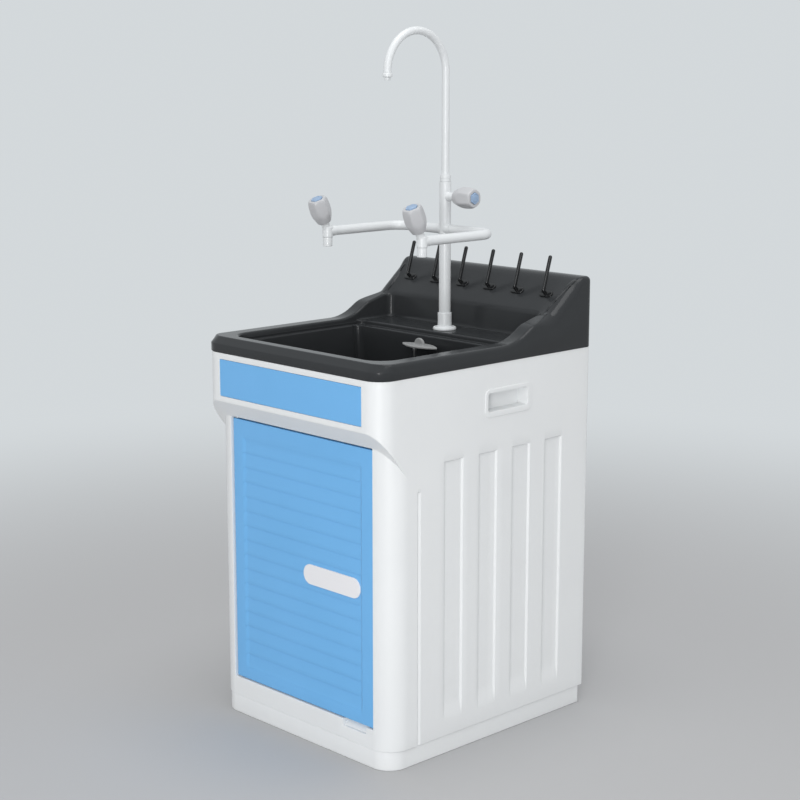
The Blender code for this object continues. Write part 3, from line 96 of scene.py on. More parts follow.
DECK_EDGE = MOUTH_REAR - 0.090
DECK_FILLET = 0.006
DECK_ROLL = 0.0035
LEDGE_LEVEL = RIM_HEIGHT - 0.016
LEDGE_FILLET = 0.0016
BOWL_HALF = MOUTH_HALF - 0.006
BOWL_FRONT = MOUTH_FRONT + 0.006
BOWL_REAR = DECK_EDGE - 0.015
BOWL_ROLL = 0.0028
BOWL_FRONT_RADIUS = 0.036
BOWL_REAR_RADIUS = 0.016
BOWL_SIDE_DRAFT = 0.020
BOWL_FRONT_DRAFT = 0.036
BOWL_REAR_DRAFT = 0.001
BOWL_FLOOR = RIM_HEIGHT - 0.205
BOWL_WALL_SHARE = 0.92
BOWL_FLOOR_SHARE = 0.08
FLOOR_FILLET = 0.016
DRAIN_HOLE = 0.0228
DRAIN_HOLE_DEPTH = 0.004
SINK_SHEET = 0.0022
WAIST = DECK_EDGE - MOUTH_REAR_RADIUS

# Cabinet
CABINET_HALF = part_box("right_side_panel")[1].x
CABINET_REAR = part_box("right_side_panel")[1].y
CABINET_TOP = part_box("right_side_panel")[1].z
PANEL_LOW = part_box("right_side_panel")[0].z
FRAME_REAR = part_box("right_side_panel")[0].y
UPPER_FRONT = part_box("front_frame")[0].y
LOWER_FRONT = UPPER_FRONT + 0.027
UPPER_CORNER_RADIUS = 0.040
LOWER_CORNER_RADIUS = 0.0475
SHOULDER_LOW = 0.639
SHOULDER_HIGH = 0.673
SHOULDER_FOOT_ROLL = 0.004
SHOULDER_CREST_ROLL = 0.0022
OPENING_HALF = 0.213
OPENING_LOW = 0.0786
OPENING_HIGH = 0.6388
OPENING_LIP = 0.0010
SURROUND_DEPTH = 0.034
SHEET = 0.0025
SEAM_TOP = PANEL_LOW + 0.510
SEAM_FADE = 0.002
SEAM_FRONT = 0.0008
SEAM_REAR = 0.0080
SEAM_DEPTH = 0.0060
NOTCH_LEFT = 0.125
NOTCH_RIGHT = 0.193
NOTCH_LOW = 0.065
NOTCH_DEPTH = 0.018
NOTCH_FOOT_SHARE = 0.25
NOTCH_OVERLAP = 0.01
CHANNEL_EDGES = (-0.126, -0.0295, 0.067, 0.1635)
CHANNEL_WIDTH = 0.049
CHANNEL_LOW = 0.070
CHANNEL_HIGH = 0.597
CHANNEL_DEPTH = 0.0042
CHANNEL_SOFTNESS = 0.0018
CHANNEL_RUN_OUT = 0.045
HAND_HOLD_REACH = 0.012
HAND_HOLD_BORDER = 0.0085
HAND_HOLD_REAR_BORDER = 0.0045
HAND_HOLD_LOW_BORDER = 0.0030
HAND_HOLD_POCKET = 0.026
HAND_HOLD_DRAFT = 0.0006
HAND_HOLD_RADIUS = 0.014
HAND_HOLD_INNER_RADIUS = 0.0035
HAND_HOLD_EDGE = 0.0035
HAND_HOLD_EDGE_ROLL = 0.0012
HAND_HOLD_POCKET_ROLL = 0.0010
HAND_HOLD_CUT = 0.005
HAND_HOLD_SHEET = 0.001
REAR_EDGE_ROLL = 0.005
PANEL_FOOT_ROLL = 0.002
PANEL_RETURN = 0.008
SERVICE_OPENING = (-0.090, 0.090, 0.069, 0.199)
PLINTH_CORNER_RADIUS = LOWER_CORNER_RADIUS - 0.004
PLINTH_REAR_RADIUS = 0.006
PLINTH_FOOT_ROLL = 0.0022
PLINTH_TOP_ROLL = 0.0012
PLINTH_TOP_BORDER = 0.006

# Door, fascia and label
DOOR_LOW, DOOR_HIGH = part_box("door")
DOOR_FACE = DOOR_LOW.y
DOOR_EDGE_ROLL = 0.0012
DOOR_HINGE_ROLL = 0.0056
DOOR_SIDE_DEPTH = 0.0188
DOOR_TOP = DOOR_HIGH.z - 0.0026
DOOR_SHEET = 0.002
DOOR_OPENING = (-OPENING_HALF + OPENING_LIP, OPENING_HALF - OPENING_LIP, OPENING_LOW, OPENING_HIGH)
FIELD_HALF = 0.176
FIELD_LOW = 0.105
FIELD_HIGH = 0.597
FIELD_DEPTH = 0.0024
FIELD_SOFTNESS = 0.0034
FIELD_LEFT_SOFTNESS = 0.0066
FIELD_END_SOFTNESS = 0.0120
SLAT_COUNT = 16
SLAT_PITCH = (FIELD_HIGH - FIELD_LOW) / SLAT_COUNT
SLAT_STEP = 0.0014
SLAT_ROLL = 0.0006
FASCIA_LOW, FASCIA_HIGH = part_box("upper_fascia")
FASCIA_ROLL = 0.0009
FASCIA_RADIUS = 0.003
FASCIA_GAP = 0.0006
FASCIA_BED_DEPTH = 0.0032
FASCIA_BED = (
    FASCIA_LOW.x - FASCIA_GAP, FASCIA_HIGH.x + FASCIA_GAP,
    FASCIA_LOW.z - FASCIA_GAP, FASCIA_HIGH.z + FASCIA_GAP)
LABEL_LOW, LABEL_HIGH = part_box("door_label_plate")
LABEL_ROLL = 0.0009

# Tap
TAP_Y = middle_of("tap_base").y
COLUMN_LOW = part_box("tap_column")[0].z
COLUMN_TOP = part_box("tap_column")[1].z
COLUMN_RADIUS = 0.01225
SPOUT_SOCKET = 0.0166
BRANCH_LEVEL = middle_of("right_branch_pipe").z
BRANCH_RADIUS = 0.010
BRANCH_BEND = 0.035
BOSS_RADIUS = 0.0108
BOSS_REACH = 0.018
NECK_RADIUS = 0.0085
NECK_REACH = 0.020
VALVE_DROP = 0.0120
VALVE_GRAIN = 0.0006
UPPER_NECK_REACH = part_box("upper_knob")[0].x - SEAT_GAP
UPPER_NECK_LEVEL = middle_of("upper_knob").z
KNOB_TILT = math.radians(23)
KNOB_AXIS = Vector((0, -math.sin(KNOB_TILT), math.cos(KNOB_TILT)))
SPINDLE_HOLE = 0.0045
SPINDLE_DEPTH = 0.0066
SPOUT_RADIUS = 0.008
SPOUT_BEND = 0.0825
SPOUT_FIT = 0.0084
SPOUT_STRAIGHT = 0.02
SPOUT_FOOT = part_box("gooseneck_spout")[0].z
SPOUT_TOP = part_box("gooseneck_spout")[1].z - 0.0002

# Valve knobs, measured along the spindle from the neck's end
KNOB_CORNER = 0.02205
HEXAGON_POWER = 20
HEXAGON_SIDE = 0.8966
KNOB_FOOT_RADIUS = 0.0138
KNOB_FLARE_RADIUS = 0.0228
KNOB_FLARE_LENGTH = 0.0225
KNOB_BELLY = 0.026
KNOB_BELLY_LENGTH = 0.027
KNOB_BELLY_TAPER = 0.08
KNOB_SHOULDER = 0.0474
KNOB_SHOULDER_LENGTH = 0.0056
KNOB_SHOULDER_RADIUS = 0.0224
KNOB_END_RADIUS = 0.0180
KNOB_LEAST_RADIUS = 0.001
EASING_POWER = 20
CAP_CORNER = 0.0120
CAP_SEAT = 0.0500
CAP_END = 0.0552
CAP_ROLL = 0.0012


# Small geometry helpers

def soft_step(share):
    share = min(max(share, 0.0), 1.0)
    return share * share * (3 - 2 * share)


def blend(start, end, share):
    return start + (end - start) * share


def roll_angles(steps):
    return [math.pi / 2 * step / steps for step in range(steps + 1)]


def quarter_round(steps):
    """Points of a quarter round of radius 1: how far in from its wall, and how far below its top."""
    return [(1 - math.cos(angle), 1 - math.sin(angle)) for angle in roll_angles(steps)]


def filleted(corners, radii, steps=10):
    """A run of corners in a plane, each inner corner turned into an arc of its radius."""
    points = [Vector(corner) for corner in corners]
    run = [points[0]]
    for before, here, after, radius in zip(points, points[1:], points[2:], radii):
        back = (before - here).normalized()
        ahead = (after - here).normalized()
        half = back.angle(ahead) / 2
        if radius <= 0 or half > math.radians(89.7):
            run.append(here)
            continue
        reach = radius / math.tan(half)
        centre = here + (back + ahead).normalized() * radius / math.sin(half)
        start = here + back * reach - centre
        end = here + ahead * reach - centre
        turn = start.angle(end)
        for step in range(steps + 1):
            share = step / steps
            spoke = start * math.sin((1 - share) * turn) + end * math.sin(share * turn)
            run.append(centre + spoke / math.sin(turn))
    run.append(points[-1])
    return run


def height_along(run, at):
    """Height of a run of (distance, height) points at one distance."""
    if at <= run[0][0]:
        return run[0][1]
    for start, end in zip(run, run[1:]):
        if at <= end[0]:
            width = end[0] - start[0]
            return blend(start[1], end[1], (at - start[0]) / width) if width > 0 else end[1]
    return run[-1][1]


def spread(run, count):
    """Evenly spaced points along a run, its last point left out."""
    points = [Vector(point) for point in run]
    lengths = [0.0]
    for start, end in zip(points, points[1:]):
        lengths.append(lengths[-1] + (end - start).length)
    spaced = []
    leg = 0
    for index in range(count):
        goal = lengths[-1] * index / count
        while lengths[leg + 1] < goal:
            leg += 1
        width = lengths[leg + 1] - lengths[leg]
        share = (goal - lengths[leg]) / width if width > 0 else 0.0
        spaced.append(points[leg].lerp(points[leg + 1], share))
    return spaced


def arc(centre, radius, start, end, steps):
    """Points of an arc in a plane, angles in degrees."""
    points = []
    for step in range(steps + 1):
        angle = math.radians(blend(start, end, step / steps))
        points.append(Vector((centre[0] + radius * math.cos(angle), centre[1] + radius * math.sin(angle))))
    return points


def rounded_box_outline(left, right, low, high, radius, steps=10):
    """A rounded rectangle in a plane, counter-clockwise."""
    points = []
    for centre, start in (((right - radius, low + radius), -90), ((right - radius, high - radius), 0),
                          ((left + radius, high - radius), 90), ((left + radius, low + radius), 180)):
        points += arc(centre, radius, start, start + 90, steps)
    return points


def one_each(outline, value):
    """A value for each point of an outline, given as a list or as one value for all."""
    return value if isinstance(value, list) else [value] * len(outline)


def pulled_in(outline, distances):
    """A closed outline, counter-clockwise, moved inwards."""
    moved = []
    count = len(outline)
    for index, (here, distance) in enumerate(zip(outline, one_each(outline, distances))):
        before = here - outline[index - 1]
        after = outline[(index + 1) % count] - here
        along = before.normalized() + after.normalized()
        inward = Vector((-along.y, along.x)).normalized()
        slant = max(0.5, inward.dot(Vector((-after.y, after.x)).normalized()))
        moved.append(here + inward * distance / slant)
    return moved


def raised(outline, heights):
    """An outline in plan, set at its heights."""
    return [(point.x, point.y, height) for point, height in zip(outline, one_each(outline, heights))]


# Meshes

OPEN = (False, False)
CLOSED = (True, True)


def mesh_from(name, build, sharp):
    """A smooth-shaded mesh from a function that fills a bmesh."""
    mesh = bpy.data.meshes.new(name)
    work = bmesh.new()
    build(work)
    work.to_mesh(mesh)
    work.free()
    for face in mesh.polygons:
        face.use_smooth = True
    mesh.set_sharp_from_angle(angle=math.radians(sharp))
    uses = Counter(key for face in mesh.polygons for key in face.edge_keys)
    for edge in mesh.edges:
        if uses[edge.key] == 1:
            edge.use_edge_sharp = True
    return mesh


def add_rings(work, rings, start_cap=False, end_cap=False):
    """Quads between closed rings of equal count; a ring of one point closes to a tip."""
    rows = [[work.verts.new(point) for point in ring] for ring in rings]
    for near, far in zip(rows, rows[1:]):
        count = max(len(near), len(far))
        for index in range(count):
            after = (index + 1) % count
            if len(near) == 1:
                work.faces.new((near[0], far[after], far[index]))
            elif len(far) == 1:
                work.faces.new((near[index], near[after], far[0]))
            else:
                work.faces.new((near[index], near[after], far[after], far[index]))
    if start_cap:
        work.faces.new(list(reversed(rows[0])))
    if end_cap:
        work.faces.new(rows[-1])


def closed_ring(work, rings):
    """A solid ring: its last ring of points is joined to its first one."""
    add_rings(work, rings + rings[:1])
    bmesh.ops.remove_doubles(work, verts=work.verts, dist=1e-7)


def frame_about(axis):
    """Two directions that stand square to an axis."""
    axis = Vector(axis).normalized()
    side = axis.cross(UP) if abs(axis.dot(UP)) < 0.95 else axis.cross(FORWARD)
    side.normalize()
    return axis, side, axis.cross(side)


def circle(centre, side, other, radius, steps):
    ring = []
    for step in range(steps):
        angle = 2 * math.pi * step / steps
        ring.append(centre + (side * math.cos(angle) + other * math.sin(angle)) * radius)
    return ring


def turned_rings(profile, foot, axis=UP, steps=64):
    """Rings of a turned piece from (radius, distance along the axis) points."""
    axis, side, other = frame_about(axis)
    rings = []
    for radius, along in profile:
        centre = Vector(foot) + axis * along
        rings.append(circle(centre, side, other, radius, steps) if radius > 0 else [centre])
    return rings


def pipe_rings(path, radii, steps=40):
    """Rings of a round bar along a path, kept free of twist."""
    points = [Vector(point) for point in path]
    rings = []
    side = frame_about(points[1] - points[0])[1]
    for index, (here, radius) in enumerate(zip(points, one_each(points, radii))):
        before = points[max(index - 1, 0)]
        after = points[min(index + 1, len(points) - 1)]
        along = (after - before).normalized()
        side = (side - along * side.dot(along)).normalized()
        rings.append(circle(here, side, along.cross(side), radius, steps))
    return rings


# Pieces

def put(name, data):
    """A new object in the scene."""
    thing = bpy.data.objects.new(name, data)
    bpy.context.scene.collection.objects.link(thing)
    return thing


def stand(name, mesh, finish, *nodes, body="cabinet"):
    """Puts a mesh on a body as the piece that stands for the given nodes."""
    piece = put(name, mesh)
    mesh.materials.append(finish.material)
    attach(piece, body)
    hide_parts(*nodes)
    return piece


def ring_piece(name, rings, finish, *nodes, body="cabinet", sharp=45, caps=CLOSED):
    """A piece whose skin runs over rings of points."""
    mesh = mesh_from(name, lambda work: add_rings(work, rings, *caps), sharp)
    return stand(name, mesh, finish, *nodes, body=body)


def ring_solid(name, outline, foot, finish, node):
    """A turned piece that is open along its axis, from the outline of its section."""
    rings = turned_rings(outline, foot)
    return stand(name, mesh_from(name, lambda work: closed_ring(work, rings), 45), finish, node)


def lathe(name, corners, radii, foot, axis, finish, node, body="cabinet", steps=64):
    """A turned piece from corners of (radius, distance along the axis), each eased by its radius."""
    rings = turned_rings(filleted(corners, radii, 6), foot, axis, steps)
    return ring_piece(name, rings, finish, node, body=body, caps=OPEN)


def thicken(piece, thickness):
    shell = piece.modifiers.new("sheet", "SOLIDIFY")
    shell.thickness = thickness
    shell.offset = -1
    shell.use_even_offset = False
    return piece


def melt(piece, grain_size, passes):
    """Runs a piece's crossing solids together into one casting with rounded inner corners."""
    cast = piece.modifiers.new("cast", "REMESH")
    cast.mode = "VOXEL"
    cast.voxel_size = grain_size
    cast.use_smooth_shade = True
    ease = piece.modifiers.new("ease", "SMOOTH")
    ease.factor = 0.5
    ease.iterations = passes
    return piece


# Relief sheets: panels made as one skin whose hollows, rolled edges and grooves are in the mesh

LIP_SHARES = (1.0, 0.66, 0.36, 0.14, 0.02, 0.0)
SOFT_SHARES = (1.0, 0.8, 0.55, 0.3, 0.0, -0.3, -0.55, -0.8, -1.0)
WALL_STEP = 0.0003
NEAREST_LINES = 1e-5
WIDE_GRID = 0.03
MIDDLE_GRID = 0.02


def rolled(distance, radius, wall):
    """Depth of a rolled edge: level past the radius, a quarter round, then a wall."""
    if distance >= radius:
        return 0.0
    if distance < -WALL_STEP / 2:
        return wall
    return radius - math.sqrt(max(radius ** 2 - (radius - max(distance, 0.0)) ** 2, 0.0))


def outside_by(u, v, left, right, low, high):
    return max(left - u, u - right, low - v, v - high)


def cut_lines(low, high, lip):
    """Lines that a rolled hollow needs across one direction."""
    lines = [low - lip * share for share in LIP_SHARES] + [low + WALL_STEP]
    return lines + [high - WALL_STEP] + [high + lip * share for share in reversed(LIP_SHARES)]


def soft_lines(low, high, softness):
    lines = [low - softness * share for share in SOFT_SHARES]
    return lines + [high + softness * share for share in reversed(SOFT_SHARES)]


def edge_lines(edge, radius, inward):
    """Lines that a rolled outer edge needs, the wall's line last."""
    lines = [edge + inward * radius * share for share in LIP_SHARES]
    return lines + [edge - inward * WALL_STEP]


def even_lines(low, high, step):
    count = max(1, round((high - low) / step))
    return [blend(low, high, index / count) for index in range(count + 1)]


def in_order(lines, low, high):
    """Sorted lines within limits, with lines that nearly meet taken once."""
    kept = []
    for line in sorted(lines):
        if low - 1e-9 <= line <= high + 1e-9 and (not kept or line - kept[-1] > NEAREST_LINES):
            kept.append(line)
    return kept


def panel(name, columns, rows, place, finish, node, left_out=None, flip=False, body="cabinet", sheet=SHEET):
    """A sheet over a grid of lines; left_out says which cells stay open."""

    def build(work):
        grid = [[work.verts.new(place(u, v)) for u in columns] for v in rows]
        for low in range(len(rows) - 1):
            for left in range(len(columns) - 1):
                middle_u = (columns[left] + columns[left + 1]) / 2
                middle_v = (rows[low] + rows[low + 1]) / 2
                if left_out and left_out(middle_u, middle_v):
                    continue
                corners = [grid[low][left], grid[low][left + 1]]
                corners += [grid[low + 1][left + 1], grid[low + 1][left]]
                work.faces.new(reversed(corners) if flip else corners)
        bmesh.ops.delete(work, geom=[vert for vert in work.verts if not vert.link_faces], context="VERTS")

    return thicken(stand(name, mesh_from(name, build, 40), finish, node, body=body), sheet)


# Shader node groups and finishes

NUMBER = "NodeSocketFloat"
COLOUR = "NodeSocketColor"
Finish = namedtuple("Finish", "material slot")


def new_group(name, inputs, outputs):
    """A node group with inputs given by their values and outputs by their kinds."""
    group = bpy.data.node_groups.new(name, "ShaderNodeTree")
    for label, value in inputs.items():
        kind = COLOUR if isinstance(value, tuple) else NUMBER
        group.interface.new_socket(label, in_out="INPUT", socket_type=kind).default_value = value
    for label, kind in outputs.items():
        group.interface.new_socket(label, in_out="OUTPUT", socket_type=kind)
    return group, group.nodes.new("NodeGroupInput"), group.nodes.new("NodeGroupOutput")


def add_node(tree, kind, values=None, **settings):
    node = tree.nodes.new(kind)
    for name, value in settings.items():
        setattr(node, name, value)
    for name, value in (values or {}).items():
        node.inputs[name].default_value = value
    return node


def add_sum(tree, operation, **settings):
    return add_node(tree, "ShaderNodeMath", operation=operation, **settings)


def add_range(tree, low, high, to_low=0.0, **settings):
    """Spreads the values between two limits up to one."""
    return add_node(tree, "ShaderNodeMapRange", {1: low, 2: high, 3: to_low, 4: 1.0}, **settings)


def place_group(tree, group, **values):
    node = tree.nodes.new("ShaderNodeGroup")
    node.node_tree = group
    for name, value in values.items():
        node.inputs[name].default_value = value
    return node


def wire(tree, *links):
    """Links in a node tree, each as node, output, node, input."""
    for source, output, target, entry in links:
        tree.links.new(source.outputs[output], target.inputs[entry])


def moulding_grain_group():
    """Fine pebbled skin of moulded plastic, with slow waves of sheen."""
    group, entry, result = new_group(
        "moulding grain", {"Grain": 900.0, "Roughness": 0.4, "Unevenness": 0.1},
        {"Height": NUMBER, "Roughness": NUMBER})
    place = add_node(group, "ShaderNodeTexCoord")
    pebbles = add_node(group, "ShaderNodeTexVoronoi", feature="SMOOTH_F1")
    mist = add_node(group, "ShaderNodeTexNoise", {"Detail": 4.0, "Roughness": 0.6})
    waves = add_node(group, "ShaderNodeTexNoise", {"Scale": 9.0, "Detail": 5.0, "Roughness": 0.62})
    height = add_sum(group, "ADD")
    centred = add_sum(group, "SUBTRACT", values={1: 0.5})
    swing = add_sum(group, "MULTIPLY")
    sheen = add_sum(group, "ADD", use_clamp=True)
    wire(group,
         (place, "Object", pebbles, "Vector"), (place, "Object", mist, "Vector"),
         (place, "Object", waves, "Vector"),
         (entry, "Grain", pebbles, "Scale"), (entry, "Grain", mist, "Scale"),
         (pebbles, "Distance", height, 0), (mist, "Fac", height, 1), (height, 0, result, "Height"),
         (waves, "Fac", centred, 0), (centred, 0, swing, 0), (entry, "Unevenness", swing, 1),
         (swing, 0, sheen, 0), (entry, "Roughness", sheen, 1), (sheen, 0, result, "Roughness"))
    return group


def colour_drift_group():
    """Slow change of shade that a moulded or coated piece has."""
    group, entry, result = new_group(
        "colour drift", {"Colour": (0.5, 0.5, 0.5, 1), "Shaded": (0.4, 0.4, 0.4, 1)}, {"Colour": COLOUR})
    place = add_node(group, "ShaderNodeTexCoord")
    cloud = add_node(group, "ShaderNodeTexNoise", {"Scale": 5.0, "Detail": 6.0, "Roughness": 0.55})
    share = add_range(group, 0.3, 0.75)
    mix = add_node(group, "ShaderNodeMix", data_type="RGBA")
    wire(group,
         (place, "Object", cloud, "Vector"), (cloud, "Fac", share, 0), (share, 0, mix, "Factor"),
         (entry, "Colour", mix, 6), (entry, "Shaded", mix, 7), (mix, 2, result, "Colour"))
    return group


def edge_wear_group():
    """Rubbed outer edges, broken up so that the wear isn't even."""
    group, entry, result = new_group(
        "edge wear", {"Colour": (0.5, 0.5, 0.5, 1), "Worn": (0.7, 0.7, 0.7, 1), "Amount": 0.4},
        {"Colour": COLOUR})
    place = add_node(group, "ShaderNodeTexCoord")
    shape = add_node(group, "ShaderNodeNewGeometry")
    edges = add_range(group, 0.52, 0.60)
    rub = add_node(group, "ShaderNodeTexNoise", {"Scale": 45.0, "Detail": 6.0, "Roughness": 0.7})
    patch = add_range(group, 0.4, 0.7, 0.1)
    mask = add_sum(group, "MULTIPLY")
    amount = add_sum(group, "MULTIPLY", use_clamp=True)
    mix = add_node(group, "ShaderNodeMix", data_type="RGBA")
    wire(group,
         (place, "Object", rub, "Vector"), (shape, "Pointiness", edges, 0), (rub, "Fac", patch, 0),
         (edges, 0, mask, 0), (patch, 0, mask, 1), (mask, 0, amount, 0), (entry, "Amount", amount, 1),
         (amount, 0, mix, "Factor"), (entry, "Colour", mix, 6), (entry, "Worn", mix, 7),
         (mix, 2, result, "Colour"))
    return group


def wiping_marks_group():
    """Long fine rubbing marks, as wiping leaves them."""
    group, entry, result = new_group("wiping marks", {"Amount": 0.2}, {"Mask": NUMBER})
    place = add_node(group, "ShaderNodeTexCoord")
    stretch = add_node(group, "ShaderNodeMapping", {"Scale": (1.0, 1.0, 14.0)})
    streak = add_node(group, "ShaderNodeTexNoise",
                      {"Scale": 30.0, "Detail": 8.0, "Roughness": 0.75, "Distortion": 0.4})
    share = add_range(group, 0.55, 0.75)
    amount = add_sum(group, "MULTIPLY", use_clamp=True)
    wire(group,
         (place, "Object", stretch, "Vector"), (stretch, 0, streak, "Vector"), (streak, "Fac", share, 0),
         (share, 0, amount, 0), (entry, "Amount", amount, 1), (amount, 0, result, "Mask"))
    return group


MOULDING_GRAIN = moulding_grain_group()
COLOUR_DRIFT = colour_drift_group()
EDGE_WEAR = edge_wear_group()
WIPING_MARKS = wiping_marks_group()


def new_material(name):
    material = bpy.data.materials.new(name)
    material.use_nodes = True
    return material, material.node_tree, material.node_tree.nodes["Principled BSDF"]


def finish(name, slot, colour, shaded, worn, roughness, grain=900.0, bump=0.05, unevenness=0.12, wear=0.35,
           marks=0.05, metallic=0.0, coat=0.0, specular=0.5):
    """A procedural finish: drifting colour, worn edges, moulded grain and wiping marks."""
    material, tree, shader = new_material(name)
    shader.inputs["Metallic"].default_value = metallic
    shader.inputs["Coat Weight"].default_value = coat
    shader.inputs["Coat Roughness"].default_value = 0.08
    shader.inputs["Specular IOR Level"].default_value = specular
    shade = place_group(tree, COLOUR_DRIFT, Colour=(*colour, 1), Shaded=(*shaded, 1))
    edges = place_group(tree, EDGE_WEAR, Worn=(*worn, 1), Amount=wear)
    skin = place_group(tree, MOULDING_GRAIN, Grain=grain, Roughness=roughness, Unevenness=unevenness)
    rubbed = place_group(tree, WIPING_MARKS, Amount=marks)
    dull = add_sum(tree, "ADD", use_clamp=True)
    pebbled = add_node(tree, "ShaderNodeBump", {"Strength": bump, "Distance": 0.001})
    wire(tree,
         (shade, "Colour", edges, "Colour"), (edges, "Colour", shader, "Base Color"),
         (skin, "Roughness", dull, 0), (rubbed, "Mask", dull, 1), (dull, 0, shader, "Roughness"),
         (skin, "Height", pebbled, "Height"), (pebbled, "Normal", shader, "Normal"))
    return Finish(material, slot)


WHITE_MOULDING = finish(
    "white_moulding", "white_moulded_plastic",
    (0.76, 0.775, 0.78), (0.735, 0.75, 0.757), (0.82, 0.83, 0.83), 0.42, marks=0.06)
BLUE_MOULDING = finish(
    "blue_moulding", "blue_moulded_plastic",
    (0.158, 0.435, 0.78), (0.148, 0.420, 0.755), (0.30, 0.55, 0.82), 0.40, marks=0.06)
BLACK_MOULDING = finish(
    "black_sink_moulding", "black_sink_plastic",
    (0.0310, 0.0332, 0.0354), (0.0286, 0.0306, 0.0327), (0.042, 0.045, 0.048), 0.20,
    grain=700.0, bump=0.010, unevenness=0.05, marks=0.03, wear=0.12, specular=0.20)
BLACK_PEG = finish(
    "black_peg_plastic", "black_sink_plastic",
    (0.009, 0.0095, 0.0105), (0.008, 0.0083, 0.009), (0.04, 0.042, 0.045), 0.16,
    bump=0.02, marks=0.04, wear=0.2)
LABEL_WHITE = finish(
    "label_plate", "label_plastic",
    (0.80, 0.795, 0.815), (0.77, 0.77, 0.79), (0.84, 0.84, 0.85), 0.30, bump=0.02, wear=0.1)
TAP_WHITE = finish(
    "white_tap_coating", "white_tap_coating",
    (0.705, 0.726, 0.738), (0.69, 0.711, 0.722), (0.66, 0.67, 0.68), 0.33,
    grain=500.0, bump=0.002, unevenness=0.02, coat=0.15, wear=0.05, marks=0.02)
KNOB_GREY = finish(
    "grey_knob_plastic", "grey_knob_plastic",
    (0.50, 0.505, 0.52), (0.47, 0.475, 0.49), (0.58, 0.585, 0.59), 0.34, wear=0.25)
CAP_BLUE = finish(
    "blue_cap_plastic", "blue_cap_plastic",
    (0.28, 0.39, 0.55), (0.26, 0.37, 0.53), (0.38, 0.49, 0.62), 0.30, bump=0.02, wear=0.2)
STEEL = finish(
    "brushed_steel", "stainless_steel",
    (0.60, 0.60, 0.59), (0.52, 0.52, 0.52), (0.72, 0.72, 0.71), 0.28,
    bump=0.03, metallic=1.0, marks=0.2, wear=0.3)
LIGHT_GREY = finish(
    "light_grey_plastic", "light_grey_plastic",
    (0.31, 0.315, 0.315), (0.28, 0.285, 0.285), (0.42, 0.42, 0.42), 0.38, wear=0.2)
BLACK_RUBBER = finish(
    "black_rubber", "black_rubber",
    (0.022, 0.022, 0.023), (0.016, 0.016, 0.017), (0.06, 0.06, 0.06), 0.62, bump=0.10, wear=0.3)


# Sink top: one moulded skin of outlines joined point to point

FRONT_POINTS = 12
FRONT_CORNER_POINTS = 16
SIDE_POINTS = 34
REAR_CORNER_POINTS = 52
REAR_POINTS = 14
CORNER_STEPS = 24
EDGE_STEPS = 8
CROWN_STEPS = 12
WALL_STEPS = 8
FLOOR_STEPS = 4

# Heights of the moulding from front to back, at its ends and along the drying board
END_PROFILE = filleted(
    [(TOP_LOW.y, RIM_HEIGHT), (0.0741, RIM_HEIGHT), (0.1224, 0.8339), (0.1893, 0.8520),
     (0.2695, TOP_HIGH.z), (TOP_HIGH.y, TOP_HIGH.z)],
    (0.120, 0.060, 0.040, 0.035), 16)
BOARD_PROFILE = filleted([(0.150, 0.8130), (0.2725, TOP_HIGH.z), (TOP_HIGH.y, TOP_HIGH.z)], (0.030,), 16)
CHEEK_OUTER = 0.246
CHEEK_INNER = 0.205

# Places from front to back: where the board starts, where the wide roll of its ends starts and ends,
# and where the roll of its crest starts
BOARD_START, BOARD_RISE = 0.170, 0.020
SWELL_START, SWELL_RISE = 0.13, 0.06
SWELL_END, SWELL_FALL = 0.278, 0.03
CREST_START, CREST_RISE = 0.262, 0.026


def crown(point):
    """Height of the moulding's upper side at a place in plan."""
    end = height_along(END_PROFILE, point.y)
    board = height_along(BOARD_PROFILE, point.y)
    share = soft_step((CHEEK_OUTER - abs(point.x)) / (CHEEK_OUTER - CHEEK_INNER))
    return blend(end, board, share * soft_step((point.y - BOARD_START) / BOARD_RISE))


def sink_outline(half, front, front_radius, rear, rear_radius):
    """One turn round the sink in plan; all outlines have the same number of points."""
    front_corner = arc((half - front_radius, front + front_radius), front_radius, -90, 0, CORNER_STEPS)
    rear_corner = [Vector((half, WAIST))]
    rear_corner += arc((half - rear_radius, rear - rear_radius), rear_radius, 0, 90, CORNER_STEPS)
    right = spread([(0, front), front_corner[0]], FRONT_POINTS)
    right += spread(front_corner, FRONT_CORNER_POINTS)
    right += spread([front_corner[-1], (half, WAIST)], SIDE_POINTS)
    right += spread(rear_corner, REAR_CORNER_POINTS)
    right += spread([rear_corner[-1], (0, rear)], REAR_POINTS)
    left = [Vector((-point.x, point.y)) for point in reversed(right[1:])]
    return right + [Vector((0, rear))] + left


def bowl_outline(share, grow=0.0):
    """The bowl in plan, from its mouth at share 0 to its floor at share 1."""
    return sink_outline(
        BOWL_HALF + grow - BOWL_SIDE_DRAFT * share,
        BOWL_FRONT - grow + BOWL_FRONT_DRAFT * share, BOWL_FRONT_RADIUS + grow,
        BOWL_REAR + grow - BOWL_REAR_DRAFT * share, BOWL_REAR_RADIUS + grow)


def edge_roll_at(point):
    """Radius of the moulding's outer edge: wider at the drying board's ends, small along its crest."""
    swell = soft_step((point.y - SWELL_START) / SWELL_RISE) * soft_step((SWELL_END - point.y) / SWELL_FALL)
    crest = soft_step((point.y - CREST_START) / CREST_RISE)
    return blend(blend(RIM_ROLL, BOARD_END_ROLL, swell), CREST_ROLL, crest)


def chamfer_share_at(point):
    """How much of the front rim's chamfer a place on the outline has; it runs out round the corners."""
    return soft_step((TOP_LOW.y + TOP_FRONT_RADIUS - point.y) / TOP_FRONT_RADIUS)


